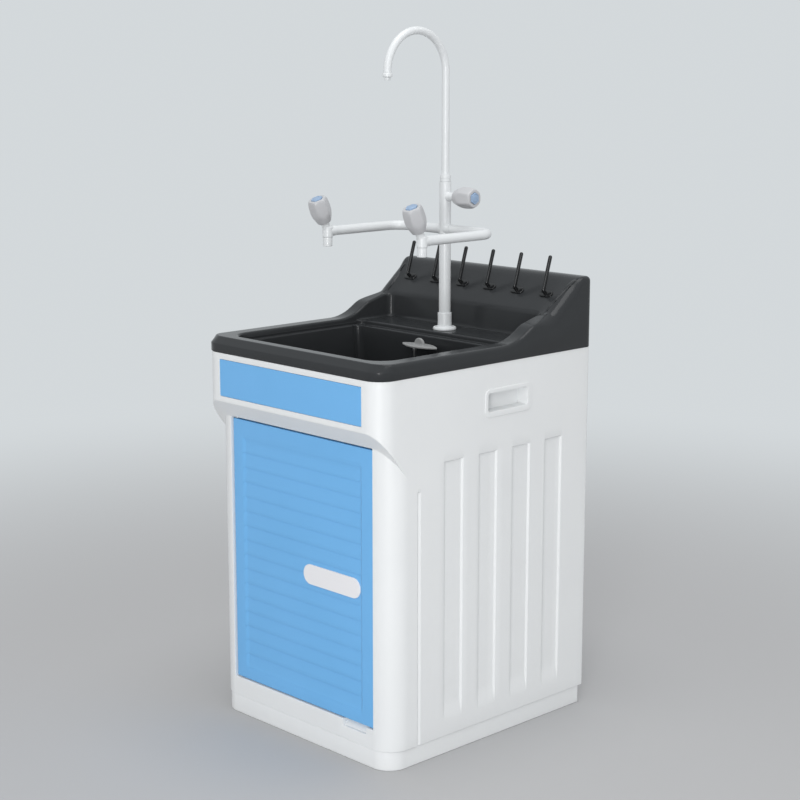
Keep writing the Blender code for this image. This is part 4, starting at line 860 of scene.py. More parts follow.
def edge_place(point, turn):
    """Inset and drop of the moulding's outer edge, from the foot of its roll at turn 0 to the top at 1."""
    share = chamfer_share_at(point)
    roll = blend(edge_roll_at(point), FRONT_RIM_ROLL, share)
    angle = blend(FRONT_CHAMFER_ANGLE * share, math.pi / 2, turn)
    return FRONT_CHAMFER * share + roll * (1 - math.cos(angle)), roll * (1 - math.sin(angle))


def edge_foot(point):
    """How far below the crown the moulding's skirt ends and its edge starts."""
    return blend(edge_roll_at(point) + RIM_FOOT, FRONT_CHAMFER_DROP, chamfer_share_at(point))


def rim_rings(outer):
    """The skirt and the outer edge, from the lower lip up to the crown; also the last outline in plan."""
    rings = [raised(pulled_in(outer, SKIRT_LIP), SKIRT_LOW), raised(outer, SKIRT_LOW + SKIRT_LIP)]
    places = [edge_place(point, 0) for point in outer]
    for share in (-CHAMFER_EASE, 0, CHAMFER_EASE):
        moved = pulled_in(outer, [inset * max(share, 0) for inset, drop in places])
        drops = [blend(edge_foot(point), drop, share) for point, (inset, drop) in zip(outer, places)]
        rings.append(raised(moved, [crown(point) - drop for point, drop in zip(outer, drops)]))
    for step in range(EDGE_STEPS + 1):
        places = [edge_place(point, step / EDGE_STEPS) for point in outer]
        moved = pulled_in(outer, [inset for inset, drop in places])
        rings.append(raised(moved, [crown(point) - drop for point, (inset, drop) in zip(moved, places)]))
    return rings, moved


def crown_rings(start, mouth):
    """The upper side, from the outer edge to the rolled edge of the mouth."""
    rings = []
    end = pulled_in(mouth, -MOUTH_ROLL)
    for step in range(1, CROWN_STEPS):
        across = [near.lerp(far, step / CROWN_STEPS) for near, far in zip(start, end)]
        rings.append(raised(across, [crown(point) for point in across]))
    for drop, gap in quarter_round(6):
        moved = pulled_in(mouth, -MOUTH_ROLL * gap)
        rings.append(raised(moved, [crown(point) - MOUTH_ROLL * drop for point in moved]))
    return rings


def deck_rings(mouth):
    """The mouth's wall. Behind the bowl it meets the tap deck; at the sides and front it ends at a ledge."""
    rings = []
    decked = [soft_step((point.y - WAIST) / (DECK_EDGE - WAIST)) for point in mouth]
    for step, (way_in, height) in enumerate(quarter_round(5)):
        wall = WALL_DRAFT * (WALL_HEAD_SHARE + WALL_RING_SHARE * step)
        inset = [wall + DECK_FILLET * way_in * share for share in decked]
        low = LEDGE_LEVEL + WALL_FOOT - WALL_RING_DROP * step
        deck = DECK_LEVEL + DECK_FILLET * height
        rings.append(raised(pulled_in(mouth, inset), [blend(low, deck, share) for share in decked]))
    rebate = (MOUTH_HALF - WALL_DRAFT, MOUTH_FRONT + WALL_DRAFT, MOUTH_FRONT_RADIUS - WALL_DRAFT)
    for step, (drop, gap) in enumerate(quarter_round(5)):
        moved = sink_outline(*rebate, DECK_EDGE + DECK_ROLL * gap, MOUTH_REAR_RADIUS)
        low = LEDGE_LEVEL + REBATE_HEAD - WALL_RING_DROP * step
        deck = DECK_LEVEL - DECK_ROLL * drop
        rings.append(raised(moved, [blend(low, deck, share) for share in decked]))
    ledge = sink_outline(*rebate, DECK_EDGE, MOUTH_REAR_RADIUS)
    for way_in, height in quarter_round(4):
        rings.append(raised(pulled_in(ledge, LEDGE_FILLET * way_in), LEDGE_LEVEL + LEDGE_FILLET * height))
    return rings


def bowl_rings():
    """The bowl, from its rolled edge down to the hole in its floor."""
    rings = []
    for drop, gap in quarter_round(5):
        rings.append(raised(bowl_outline(0.0, BOWL_ROLL * gap), LEDGE_LEVEL - BOWL_ROLL * drop))
    for step in range(1, WALL_STEPS):
        share = step / WALL_STEPS
        level = blend(LEDGE_LEVEL - BOWL_ROLL, BOWL_FLOOR + FLOOR_FILLET, share)
        rings.append(raised(bowl_outline(share * BOWL_WALL_SHARE), level))
    for way_in, height in quarter_round(7):
        outline = bowl_outline(BOWL_WALL_SHARE + BOWL_FLOOR_SHARE * way_in, -FLOOR_FILLET * way_in)
        rings.append(raised(outline, BOWL_FLOOR + FLOOR_FILLET * height))
    drain = middle_of("drain_flange").xy
    floor = bowl_outline(1.0, -FLOOR_FILLET)
    hole = [drain + (point - drain).normalized() * DRAIN_HOLE for point in floor]
    for step in range(1, FLOOR_STEPS + 1):
        across = [near.lerp(far, step / FLOOR_STEPS) for near, far in zip(floor, hole)]
        rings.append(raised(across, BOWL_FLOOR))
    rings.append(raised(hole, BOWL_FLOOR - DRAIN_HOLE_DEPTH))
    return rings


def make_sink_top():
    outer = sink_outline(TOP_HIGH.x, TOP_LOW.y, TOP_FRONT_RADIUS, TOP_HIGH.y, TOP_REAR_RADIUS)
    mouth = sink_outline(MOUTH_HALF, MOUTH_FRONT, MOUTH_FRONT_RADIUS, MOUTH_REAR, MOUTH_REAR_RADIUS)
    rings, edge = rim_rings(outer)
    rings += crown_rings(edge, mouth) + deck_rings(mouth) + bowl_rings()
    piece = ring_piece("sink_top_moulding", rings, BLACK_MOULDING, "sink_top", "sink_bowl", "drying_board",
                       sharp=60, caps=OPEN)
    return thicken(piece, SINK_SHEET)


# Drying pegs

PEG_RADIUS = 0.004
PEG_FOOT_LENGTH = 0.034
PEG_FOOT_WIDTH = 0.016
PEG_FOOT_HEIGHT = 0.0028
PEG_FOOT_ROLL = 0.0014
PEG_FOOT_SINK = 0.0015
PEG_NECK = Vector((0, -0.0093, 0.0078))
PEG_BEND = 0.0060
PEG_LEAN = math.radians(17)
PEG_ROD = 0.070
PEG_TIP = 0.0001
BOARD_SLOPE = math.atan2(0.067, 0.076)
PEG_FOOT_Y = 0.2289
PEG_FOOT_Z = 0.8825


def peg_foot_rings(foot, normal):
    """The oblong flange that a peg stands on, its upper edge rolled."""
    along = normal.cross(ACROSS)
    half_length, half_width = PEG_FOOT_LENGTH / 2, PEG_FOOT_WIDTH / 2
    outline = rounded_box_outline(-half_length, half_length, -half_width, half_width, half_width - 1e-5, 12)
    stations = [(0.0, -PEG_FOOT_SINK), (0.0, PEG_FOOT_HEIGHT - PEG_FOOT_ROLL)]
    for way_in, drop in quarter_round(5):
        stations.append((PEG_FOOT_ROLL * way_in, PEG_FOOT_HEIGHT - PEG_FOOT_ROLL * drop))
    rings = []
    for inset, height in stations:
        moved = pulled_in(outline, inset)
        rings.append([foot + normal * height + ACROSS * point.x + along * point.y for point in moved])
    return rings


def make_peg(number):
    node = f"drying_peg_{number}"
    foot = Vector((middle_of(node).x, PEG_FOOT_Y, PEG_FOOT_Z))
    normal = Vector((0, -math.sin(BOARD_SLOPE), math.cos(BOARD_SLOPE)))
    bend = foot + PEG_NECK
    tip = bend + Vector((0, math.sin(PEG_LEAN), math.cos(PEG_LEAN))) * PEG_ROD
    path = filleted([foot, bend, tip], [PEG_BEND], 14)
    path = path[:1] + spread(path, 60)[1:] + [path[-1]]
    along = (path[-1] - path[-2]).normalized()
    radii = [PEG_RADIUS] * len(path)
    for angle in roll_angles(6)[1:]:
        path.append(tip + along * PEG_RADIUS * math.sin(angle))
        radii.append(max(PEG_RADIUS * math.cos(angle), PEG_TIP))

    def build(work):
        add_rings(work, pipe_rings(path, radii, 32), *CLOSED)
        add_rings(work, peg_foot_rings(foot, normal), *CLOSED)

    return stand(f"{node}_bar", mesh_from(f"{node}_bar", build, 60), BLACK_PEG, node)


# Cabinet panels

SHOULDER_GRID = 0.0015
RUN_OUT_GRID = 0.004
SHOULDER_MARGIN = 0.004
FRAME_CORNER_STEPS = 16
FRAME_RETURN_LINES = [2.25, 2.5, 2.75, 2.95, 2.96, 2.9615, 2.965, 2.975, 2.99, 3]
SHOULDER_PROFILE = filleted(
    [(PANEL_LOW, LOWER_FRONT), (SHOULDER_LOW, LOWER_FRONT),
     (SHOULDER_HIGH, UPPER_FRONT), (CABINET_TOP, UPPER_FRONT)],
    (SHOULDER_FOOT_ROLL, SHOULDER_CREST_ROLL), 6)


def shoulder_share(level):
    """How far the front has come out at a level of its middle, from the lower face to the upper box."""
    return (height_along(SHOULDER_PROFILE, level) - LOWER_FRONT) / (UPPER_FRONT - LOWER_FRONT)


def front_outline_place(u, front, radius):
    """A line's place in plan on the outline of the lower body or of the upper box."""
    if abs(u) < 1:
        return Vector((u, front))
    side = math.copysign(1, u)
    if abs(u) <= 2:
        angle = math.pi / 2 * (abs(u) - 1)
        return Vector((side * (CABINET_HALF - radius + radius * math.sin(angle)),
                       front + radius - radius * math.cos(angle)))
    return Vector((side * CABINET_HALF, blend(front + radius, FRAME_REAR, abs(u) - 2)))


def shoulder_dip(level, lower, upper):
    """Level of a row at a line: the slanted shoulder reaches further down where the corner turns back."""
    slope = (SHOULDER_HIGH - SHOULDER_LOW) / (LOWER_FRONT - UPPER_FRONT)
    high = SHOULDER_HIGH - slope * (upper.y - UPPER_FRONT)
    low = SHOULDER_HIGH - slope * (lower.y - UPPER_FRONT)
    if level >= SHOULDER_HIGH:
        return blend(high, CABINET_TOP, (level - SHOULDER_HIGH) / (CABINET_TOP - SHOULDER_HIGH))
    if level >= SHOULDER_LOW:
        return blend(low, high, (level - SHOULDER_LOW) / (SHOULDER_HIGH - SHOULDER_LOW))
    return blend(PANEL_LOW, low, (level - PANEL_LOW) / (SHOULDER_LOW - PANEL_LOW))


def front_frame_columns():
    """Lines round the front moulding: left return, left corner, face, right corner, right return.

    Lines on the face are its x values. Lines past a face edge count on from one: up to two round the
    corner, then up to three along the side."""
    face = cut_lines(*DOOR_OPENING[:2], OPENING_LIP)
    face += cut_lines(NOTCH_LEFT, NOTCH_RIGHT, OPENING_LIP)
    face += cut_lines(*FASCIA_BED[:2], FASCIA_ROLL)
    face += even_lines(-OPENING_HALF, OPENING_HALF, MIDDLE_GRID)
    face = in_order(face, -OPENING_HALF, OPENING_HALF)
    corner = [1 + step / FRAME_CORNER_STEPS for step in range(FRAME_CORNER_STEPS + 1)]
    past = in_order(corner + FRAME_RETURN_LINES, 1, 3)
    return [-line for line in reversed(past)] + face + past


def front_frame_rows():
    rows = cut_lines(OPENING_LOW, OPENING_HIGH, OPENING_LIP) + cut_lines(NOTCH_LOW, OPENING_LOW, OPENING_LIP)
    rows += cut_lines(*FASCIA_BED[2:], FASCIA_ROLL)
    rows += even_lines(PANEL_LOW, CABINET_TOP, WIDE_GRID)
    rows += even_lines(SHOULDER_LOW - SHOULDER_MARGIN, SHOULDER_HIGH + SHOULDER_MARGIN, SHOULDER_GRID)
    rows += edge_lines(PANEL_LOW, PANEL_FOOT_ROLL, 1)[:-1]
    rows += [SEAM_TOP - SEAM_FADE, SEAM_TOP, SEAM_TOP + SEAM_FADE]
    return in_order(rows, PANEL_LOW, CABINET_TOP)


def seam_depth(distance, width, level):
    """Depth of the upright seam groove, steep in front and slanted behind, faded out at its upper end."""
    fade = soft_step((SEAM_TOP + SEAM_FADE - level) / (2 * SEAM_FADE))
    return SEAM_DEPTH * min(max(1 - distance / width, 0.0), 1.0) * fade


def front_frame_depth(u, v):
    """Depth of the front face's door opening, finger notch and bed of the fascia."""
    notch_gap = outside_by(u, v, NOTCH_LEFT, NOTCH_RIGHT, NOTCH_LOW, OPENING_LOW + NOTCH_OVERLAP)
    notch_share = min(max((v - NOTCH_LOW) / (OPENING_LOW - NOTCH_LOW), 0), 1)
    return max(
        rolled(outside_by(u, v, *DOOR_OPENING), OPENING_LIP, SURROUND_DEPTH),
        rolled(notch_gap, OPENING_LIP, NOTCH_DEPTH * blend(NOTCH_FOOT_SHARE, 1, notch_share)),
        rolled(outside_by(u, v, *FASCIA_BED), FASCIA_ROLL, FASCIA_BED_DEPTH))


def front_frame_place(u, v):
    lower = front_outline_place(u, LOWER_FRONT, LOWER_CORNER_RADIUS)
    upper = front_outline_place(u, UPPER_FRONT, UPPER_CORNER_RADIUS)
    place = lower.lerp(upper, shoulder_share(v))
    if abs(u) < 1:
        return (u, place.y + front_frame_depth(u, v), v)
    corner = min(abs(u), 2.0) - 1
    level = blend(v, shoulder_dip(v, lower, upper), 1 - soft_step(abs(u) - 2))
    foot = rolled(level - PANEL_LOW, PANEL_FOOT_ROLL, PANEL_FOOT_ROLL) * soft_step(corner)
    groove = seam_depth(FRAME_REAR - place.y, SEAM_FRONT, level) if abs(u) > 2 else 0.0
    return (place.x - math.copysign(foot + groove, u), place.y, level)


def inside_of(*box):
    """Says whether a cell of a panel lies in an opening."""
    return lambda u, v: outside_by(u, v, *box) < -WALL_STEP


def make_front_frame():
    return panel("front_moulding", front_frame_columns(), front_frame_rows(), front_frame_place,
                 WHITE_MOULDING, "front_frame", inside_of(*DOOR_OPENING))


def side_depth(u, v):
    """Depth of a side panel's channels, seam half and rolled edges."""
    depth = seam_depth(u - FRAME_REAR, SEAM_REAR, v)
    depth = max(depth, rolled(CABINET_REAR - u, REAR_EDGE_ROLL, PANEL_RETURN))
    depth = max(depth, rolled(v - PANEL_LOW, PANEL_FOOT_ROLL, PANEL_RETURN))
    for edge in CHANNEL_EDGES:
        gap = outside_by(u, v, edge, edge + CHANNEL_WIDTH, CHANNEL_LOW, CHANNEL_HIGH)
        share = soft_step((CHANNEL_SOFTNESS - gap) / (2 * CHANNEL_SOFTNESS))
        depth = max(depth, CHANNEL_DEPTH * share * soft_step((v - CHANNEL_LOW) / CHANNEL_RUN_OUT))
    return depth


def make_side_panel(hand, side):
    low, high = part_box(f"{hand}_hand_grip")
    hole = (low.y + HAND_HOLD_CUT, high.y + HAND_HOLD_REACH - HAND_HOLD_CUT,
            low.z + HAND_HOLD_CUT, high.z - HAND_HOLD_CUT)
    columns = even_lines(FRAME_REAR, CABINET_REAR, MIDDLE_GRID)
    columns += edge_lines(CABINET_REAR, REAR_EDGE_ROLL, -1)
    columns += [FRAME_REAR + SEAM_REAR * share for share in (0.0, 0.5, 0.94, 1.0, 1.08)]
    for edge in CHANNEL_EDGES:
        columns += soft_lines(edge, edge + CHANNEL_WIDTH, CHANNEL_SOFTNESS)
    rows = even_lines(PANEL_LOW, CABINET_TOP, WIDE_GRID) + edge_lines(PANEL_LOW, PANEL_FOOT_ROLL, 1)
    rows += soft_lines(CHANNEL_LOW, CHANNEL_HIGH, CHANNEL_SOFTNESS)
    rows += even_lines(CHANNEL_LOW, CHANNEL_LOW + CHANNEL_RUN_OUT, RUN_OUT_GRID)
    rows += [SEAM_TOP + SEAM_FADE * share for share in (-1, -0.5, 0, 0.5, 1)]
    columns = in_order(columns + list(hole[:2]), FRAME_REAR, CABINET_REAR + WALL_STEP)
    rows = in_order(rows + list(hole[2:]), PANEL_LOW - WALL_STEP, CABINET_TOP)

    def place(u, v):
        return (side * (CABINET_HALF - side_depth(u, v)), min(u, CABINET_REAR), max(v, PANEL_LOW))

    def left_out(u, v):
        return outside_by(u, v, *hole) < 0

    return panel(f"{hand}_side_moulding", columns, rows, place, WHITE_MOULDING, f"{hand}_side_panel",
                 left_out, flip=side < 0)


def make_hand_grip(hand, side):
    low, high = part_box(f"{hand}_hand_grip")
    proud = max(abs(low.x), abs(high.x))
    wall = HAND_HOLD_BORDER + HAND_HOLD_DRAFT

    def outline(inset, shift):
        """A rounded outline, where a full shift leaves more border behind and below the pocket."""
        return rounded_box_outline(
            low.y + inset, high.y + HAND_HOLD_REACH - inset - HAND_HOLD_REAR_BORDER * shift,
            low.z + inset + HAND_HOLD_LOW_BORDER * shift, high.z - inset,
            max(HAND_HOLD_RADIUS - inset, HAND_HOLD_INNER_RADIUS))

    stations = [(0.0, HAND_HOLD_EDGE, 0), (0.0, HAND_HOLD_EDGE_ROLL, 0)]
    for way_in, drop in quarter_round(5):
        stations.append((HAND_HOLD_EDGE_ROLL * way_in, HAND_HOLD_EDGE_ROLL * drop, 0))
    for drop, gap in quarter_round(5):
        stations.append((HAND_HOLD_BORDER - HAND_HOLD_POCKET_ROLL * gap, HAND_HOLD_POCKET_ROLL * drop, 1))
    stations.append((wall, HAND_HOLD_POCKET - HAND_HOLD_POCKET_ROLL, 1))
    for way_in, height in quarter_round(4):
        stations.append((wall + HAND_HOLD_POCKET_ROLL * way_in,
                         HAND_HOLD_POCKET - HAND_HOLD_POCKET_ROLL * height, 1))
    rings = []
    for inset, depth, shift in stations:
        rings.append([(side * (proud - depth), point.x, point.y) for point in outline(inset, shift)])

    def build(work):
        add_rings(work, rings, end_cap=True)
        if side < 0:
            bmesh.ops.reverse_faces(work, faces=work.faces)

    name = f"{hand}_hand_hold"
    piece = stand(name, mesh_from(name, build, 50), WHITE_MOULDING, f"{hand}_hand_grip")
    return thicken(piece, HAND_HOLD_SHEET)


def make_back_panel():
    low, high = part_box("back_panel")
    columns = even_lines(low.x, high.x, WIDE_GRID) + cut_lines(*SERVICE_OPENING[:2], OPENING_LIP)
    rows = even_lines(low.z, high.z, WIDE_GRID) + cut_lines(*SERVICE_OPENING[2:], OPENING_LIP)

    def place(u, v):
        gap = outside_by(u, v, *SERVICE_OPENING)
        return (u, high.y - rolled(gap, OPENING_LIP, high.y - low.y), v)

    return panel("rear_wall", in_order(columns, low.x, high.x), in_order(rows, low.z, high.z), place,
                 WHITE_MOULDING, "back_panel", inside_of(*SERVICE_OPENING), flip=True)


def make_plinth():
    low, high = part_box("base_plinth")
    front = LOWER_FRONT + SEAT_GAP
    radius, rear = PLINTH_CORNER_RADIUS, PLINTH_REAR_RADIUS
    right = [Vector((0, front))] + arc((high.x - radius, front + radius), radius, -90, 0, 20)
    right += arc((high.x - rear, high.y - rear), rear, 0, 90, 8)
    outline = right + [Vector((-point.x, point.y)) for point in reversed(right[1:])]
    foot, top = PLINTH_FOOT_ROLL, PLINTH_TOP_ROLL
    stations = [(foot * gap, low.z + foot * height) for height, gap in quarter_round(5)]
    stations += [(top * way_in, high.z - top * drop) for way_in, drop in quarter_round(4)]
    stations.append((PLINTH_TOP_BORDER, high.z))
    rings = [raised(pulled_in(outline, inset), level) for inset, level in stations]
    piece = ring_piece("plinth", rings, WHITE_MOULDING, "base_plinth", sharp=50, caps=(False, True))
    return thicken(piece, SHEET)


# Door, fascia and label

DOOR_GRID = 0.016
DOOR_BORDER_GRID = 0.008


def slat_depth(v):
    """Depth of the lapped slats at a level: each slat's foot stands over the head of the next one."""
    above = (v - FIELD_LOW) % SLAT_PITCH
    slant = SLAT_STEP * max(0.0, (above - SLAT_ROLL) / SLAT_PITCH)
    return slant + SLAT_ROLL * soft_step(1 - above / SLAT_ROLL)


def door_depth(u, v):
    edge = min(DOOR_HIGH.x - u, v - DOOR_LOW.z, DOOR_TOP - v)
    roll = max(rolled(edge, DOOR_EDGE_ROLL, DOOR_SIDE_DEPTH),
               rolled(u - DOOR_LOW.x, DOOR_HINGE_ROLL, DOOR_SIDE_DEPTH))
    side_gap = abs(u) - FIELD_HALF
    end_gap = max(FIELD_LOW - v, v - FIELD_HIGH)
    softness = FIELD_LEFT_SOFTNESS if u < 0 else FIELD_SOFTNESS
    field = soft_step((softness - side_gap) / (2 * softness))
    field *= soft_step((FIELD_END_SOFTNESS - end_gap) / (2 * FIELD_END_SOFTNESS))
    slats = slat_depth(v) if end_gap < 0 else 0.0
    return max(roll, field * (FIELD_DEPTH + slats - SLAT_STEP / 2))


def make_door():
    columns = even_lines(DOOR_LOW.x, DOOR_HIGH.x, DOOR_GRID)
    columns += soft_lines(-FIELD_HALF, FIELD_HALF, FIELD_SOFTNESS)
    columns += soft_lines(-FIELD_HALF, FIELD_HALF, FIELD_LEFT_SOFTNESS)
    columns += edge_lines(DOOR_LOW.x, DOOR_HINGE_ROLL, 1) + edge_lines(DOOR_HIGH.x, DOOR_EDGE_ROLL, -1)
    rows = edge_lines(DOOR_LOW.z, DOOR_EDGE_ROLL, 1) + edge_lines(DOOR_TOP, DOOR_EDGE_ROLL, -1)
    rows += even_lines(DOOR_LOW.z, FIELD_LOW, DOOR_BORDER_GRID)
    rows += even_lines(FIELD_HIGH, DOOR_TOP, DOOR_BORDER_GRID)
    rows += soft_lines(FIELD_LOW, FIELD_HIGH, FIELD_END_SOFTNESS)
    for index in range(SLAT_COUNT + 1):
        lap = FIELD_LOW + SLAT_PITCH * index
        rows += [lap - WALL_STEP / 2, lap + WALL_STEP / 2]
        rows += [lap + SLAT_ROLL * share for share in (0.4, 0.75, 1.3)]
        rows += [lap + SLAT_PITCH * share for share in (0.35, 0.7)]
    columns = in_order(columns, DOOR_LOW.x - WALL_STEP, DOOR_HIGH.x + WALL_STEP)
    rows = in_order(rows, DOOR_LOW.z - WALL_STEP, DOOR_TOP + WALL_STEP)

    def place(u, v):
        x = min(max(u, DOOR_LOW.x), DOOR_HIGH.x)
        z = min(max(v, DOOR_LOW.z), DOOR_TOP)
        return (x, DOOR_FACE + door_depth(u, v), z)

    return panel("door_skin", columns, rows, place, BLUE_MOULDING, "door", body="door", sheet=DOOR_SHEET)


def plate_rings(low, high, radius, steps, roll):
    """Rings of a rounded plate that faces forward, its face edge rolled."""
    outline = rounded_box_outline(low.x, high.x, low.z, high.z, radius, steps)
    stations = [(0.0, high.y)]
    stations += [(roll * way_in, low.y + roll * depth) for way_in, depth in quarter_round(6)]
    stations.append((roll * 2, low.y))
    return [[(point.x, y, point.y) for point in pulled_in(outline, inset)] for inset, y in stations]


def make_fascia():
    rings = plate_rings(FASCIA_LOW, FASCIA_HIGH, FASCIA_RADIUS, 8, FASCIA_ROLL)
    return ring_piece("fascia_panel", rings, BLUE_MOULDING, "upper_fascia", sharp=50)


def make_label():
    radius = (LABEL_HIGH.z - LABEL_LOW.z) / 2 - 1e-5
    rings = plate_rings(LABEL_LOW, LABEL_HIGH, radius, 24, LABEL_ROLL)
    return ring_piece("label_plate", rings, LABEL_WHITE, "door_label_plate", body="door", sharp=50)


# Tap. Turned pieces are given by corners of (radius, distance along the axis) and each corner's fillet.

def make_tap_base():
    corners = [(0, -0.0700), (0.0105, -0.0700), (0.0105, SEAT_GAP), (0.0245, SEAT_GAP), (0.0245, 0.0070),
               (0.0146, 0.0070), (0.0146, 0.0360), (0.01255, 0.0360), (0.01255, 0.0067), (0, 0.0067)]
    radii = (0.0008, 0, 0.0012, 0.0042, 0.0030, 0.0008, 0.0002, 0)
    return lathe("tap_foot", corners, radii, (0, TAP_Y, DECK_LEVEL), UP, TAP_WHITE, "tap_base")


def make_column():
    """The upright, flared into the bosses of both branches and into the upper valve's neck."""
    socket = COLUMN_TOP - SPOUT_SOCKET
    hole = UPPER_NECK_REACH - SPINDLE_DEPTH
    post = [(0, COLUMN_LOW), (COLUMN_RADIUS, COLUMN_LOW), (COLUMN_RADIUS, COLUMN_TOP),
            (SPOUT_FIT, COLUMN_TOP), (SPOUT_FIT, socket), (0, socket)]
    boss = [(0, -BOSS_REACH), (BOSS_RADIUS, -BOSS_REACH), (BOSS_RADIUS, -0.0125), (0.0119, -0.0100),
            (0.0119, 0.0100), (BOSS_RADIUS, 0.0125), (BOSS_RADIUS, BOSS_REACH), (0, BOSS_REACH)]
    neck = [(0, 0.0098), (0.0110, 0.0098), (NECK_RADIUS, 0.0150), (NECK_RADIUS, UPPER_NECK_REACH),
            (SPINDLE_HOLE, UPPER_NECK_REACH), (SPINDLE_HOLE, hole), (0, hole)]
    post = filleted(post, (0.0006, 0.0008, 0.0002, 0), 5)
    boss = filleted(boss, (0.0002, 0.0060, 0, 0, 0.0060, 0.0002), 5)
    neck = filleted(neck, (0, 0.0080, 0.0008, 0.0002, 0), 6)
    solids = ((post, 0, UP), (boss, BRANCH_LEVEL, ACROSS), (neck, UPPER_NECK_LEVEL, ACROSS))

    def build(work):
        for profile, level, axis in solids:
            add_rings(work, turned_rings(profile, (0, TAP_Y, level), axis))

    return stand("tap_upright", mesh_from("tap_upright", build, 45), TAP_WHITE, "tap_column")


def make_branch(hand, side):
    out = middle_of(f"{hand}_valve").x
    start = Vector((side * (BOSS_REACH + SEAT_GAP), TAP_Y, BRANCH_LEVEL))
    corner = Vector((out, TAP_Y, BRANCH_LEVEL))
    end = Vector((out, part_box(f"{hand}_valve")[1].y + SEAT_GAP, BRANCH_LEVEL))
    path = filleted([start, corner, end], [BRANCH_BEND], 28)
    rings = pipe_rings(path, BRANCH_RADIUS, 48)
    return ring_piece(f"{hand}_branch", rings, TAP_WHITE, f"{hand}_branch_pipe")


def valve_middle(hand):
    low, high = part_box(f"{hand}_valve")
    return Vector(((low.x + high.x) / 2, high.y - BOSS_REACH, BRANCH_LEVEL))


def make_valve(hand):
    """A cast valve: the way in from the branch, the way down and the slanted neck of the spindle."""
    middle = valve_middle(hand)
    hole = NECK_REACH - SPINDLE_DEPTH
    body = [(0, -VALVE_DROP), (BOSS_RADIUS, -VALVE_DROP), (BOSS_RADIUS, 0.0110), (0, 0.0110)]
    way_in = [(0, 0), (BOSS_RADIUS, 0), (BOSS_RADIUS, BOSS_REACH), (0, BOSS_REACH)]
    neck = [(0, 0), (NECK_RADIUS, 0), (NECK_RADIUS, NECK_REACH), (SPINDLE_HOLE, NECK_REACH),
            (SPINDLE_HOLE, hole), (0, hole)]

    def build(work):
        add_rings(work, turned_rings(filleted(body, (0, 0.0040), 6), middle))
        add_rings(work, turned_rings(filleted(way_in, (0, 0), 6), middle, -FORWARD))
        add_rings(work, turned_rings(filleted(neck, (0, 0.0006, 0, 0), 6), middle, KNOB_AXIS))

    name = f"{hand}_valve_body"
    return melt(stand(name, mesh_from(name, build, 45), TAP_WHITE, f"{hand}_valve"), VALVE_GRAIN, 6)


def make_outlet(hand):
    corners = [(0, SEAT_GAP), (0.0098, SEAT_GAP), (0.0098, 0.0190), (0.0062, 0.0190), (0.0062, 0.0080),
               (0, 0.0080)]
    foot = valve_middle(hand) - UP * VALVE_DROP
    radii = (0.0002, 0.0015, 0.0005, 0)
    return lathe(f"{hand}_outlet_pipe", corners, radii, foot, -UP, TAP_WHITE, f"{hand}_outlet")


def make_spout():
    rise = SPOUT_TOP - SPOUT_RADIUS - SPOUT_BEND
    tip = Vector((0, TAP_Y - 2 * SPOUT_BEND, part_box("spout_nozzle")[1].z))
    path = [Vector((0, TAP_Y, SPOUT_FOOT)), Vector((0, TAP_Y, SPOUT_FOOT + SPOUT_STRAIGHT))]
    for point in arc((TAP_Y - SPOUT_BEND, rise), SPOUT_BEND, 0, 180, 64):
        path.append(Vector((0, point.x, point.y)))
    path.append(tip + UP * SEAT_GAP)
    ring_piece("gooseneck", pipe_rings(path, SPOUT_RADIUS), TAP_WHITE, "gooseneck_spout", body="spout")
    nozzle = [(0, 0), (0.0085, 0), (0.0100, 0.0016), (0.0100, 0.0066), (0.0085, 0.0080), (0.0058, 0.0080),
              (0.0058, 0.0092), (0.0064, 0.0096), (0.0064, 0.0118), (0.0058, 0.0122), (0.0058, 0.0140),
              (0.0042, 0.0140), (0.0042, 0.0090), (0, 0.0090)]
    radii = (0.0004, 0.0008, 0.0008, 0.0005, 0.0004, 0.0002, 0.0002, 0.0002, 0.0002, 0.0004, 0.0004, 0)
    lathe("nozzle", nozzle, radii, tip, -UP, TAP_WHITE, "spout_nozzle", body="spout")


def make_collar():
    low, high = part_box("swivel_collar")
    radius = (high.x - low.x) / 2
    tall = high.z - low.z
    waist = radius - 0.0004
    outline = filleted(
        [(SPOUT_FIT, 0), (radius, 0), (radius, tall * 0.3), (waist, tall * 0.34),
         (waist, tall * 0.4), (radius, tall * 0.44), (radius, tall), (SPOUT_FIT, tall)],
        (0.0005, 0.0002, 0.0002, 0.0002, 0.0002, 0.0012), 5)
    return ring_solid("spout_collar", outline, (0, TAP_Y, low.z), TAP_WHITE, "swivel_collar")


# Valve knobs

def hexagon_reach(angle, corner):
    """Distance from the middle to the side of a hexagon with well rounded corners."""
    total = sum(abs(math.cos(angle - math.radians(30 + 60 * side))) ** HEXAGON_POWER for side in range(3))
    return corner * HEXAGON_SIDE / total ** (1 / HEXAGON_POWER)


def lesser(first, second):
    """The smaller of two sizes, eased where they meet."""
    return (first ** -EASING_POWER + second ** -EASING_POWER) ** (-1 / EASING_POWER)


def knob_reach(angle, along):
    """Distance from the spindle to a knob's skin: a hexagon between a flared foot and a drawn-in end."""
    past_belly = max(along - KNOB_BELLY, 0) / KNOB_BELLY_LENGTH
    belly = KNOB_CORNER * (1 - KNOB_BELLY_TAPER * past_belly ** 2)
    foot = blend(KNOB_FOOT_RADIUS, KNOB_FLARE_RADIUS, along / KNOB_FLARE_LENGTH)
    end = blend(KNOB_SHOULDER_RADIUS, KNOB_END_RADIUS, (along - KNOB_SHOULDER) / KNOB_SHOULDER_LENGTH)
    return lesser(lesser(hexagon_reach(angle, belly), foot), max(end, KNOB_LEAST_RADIUS))


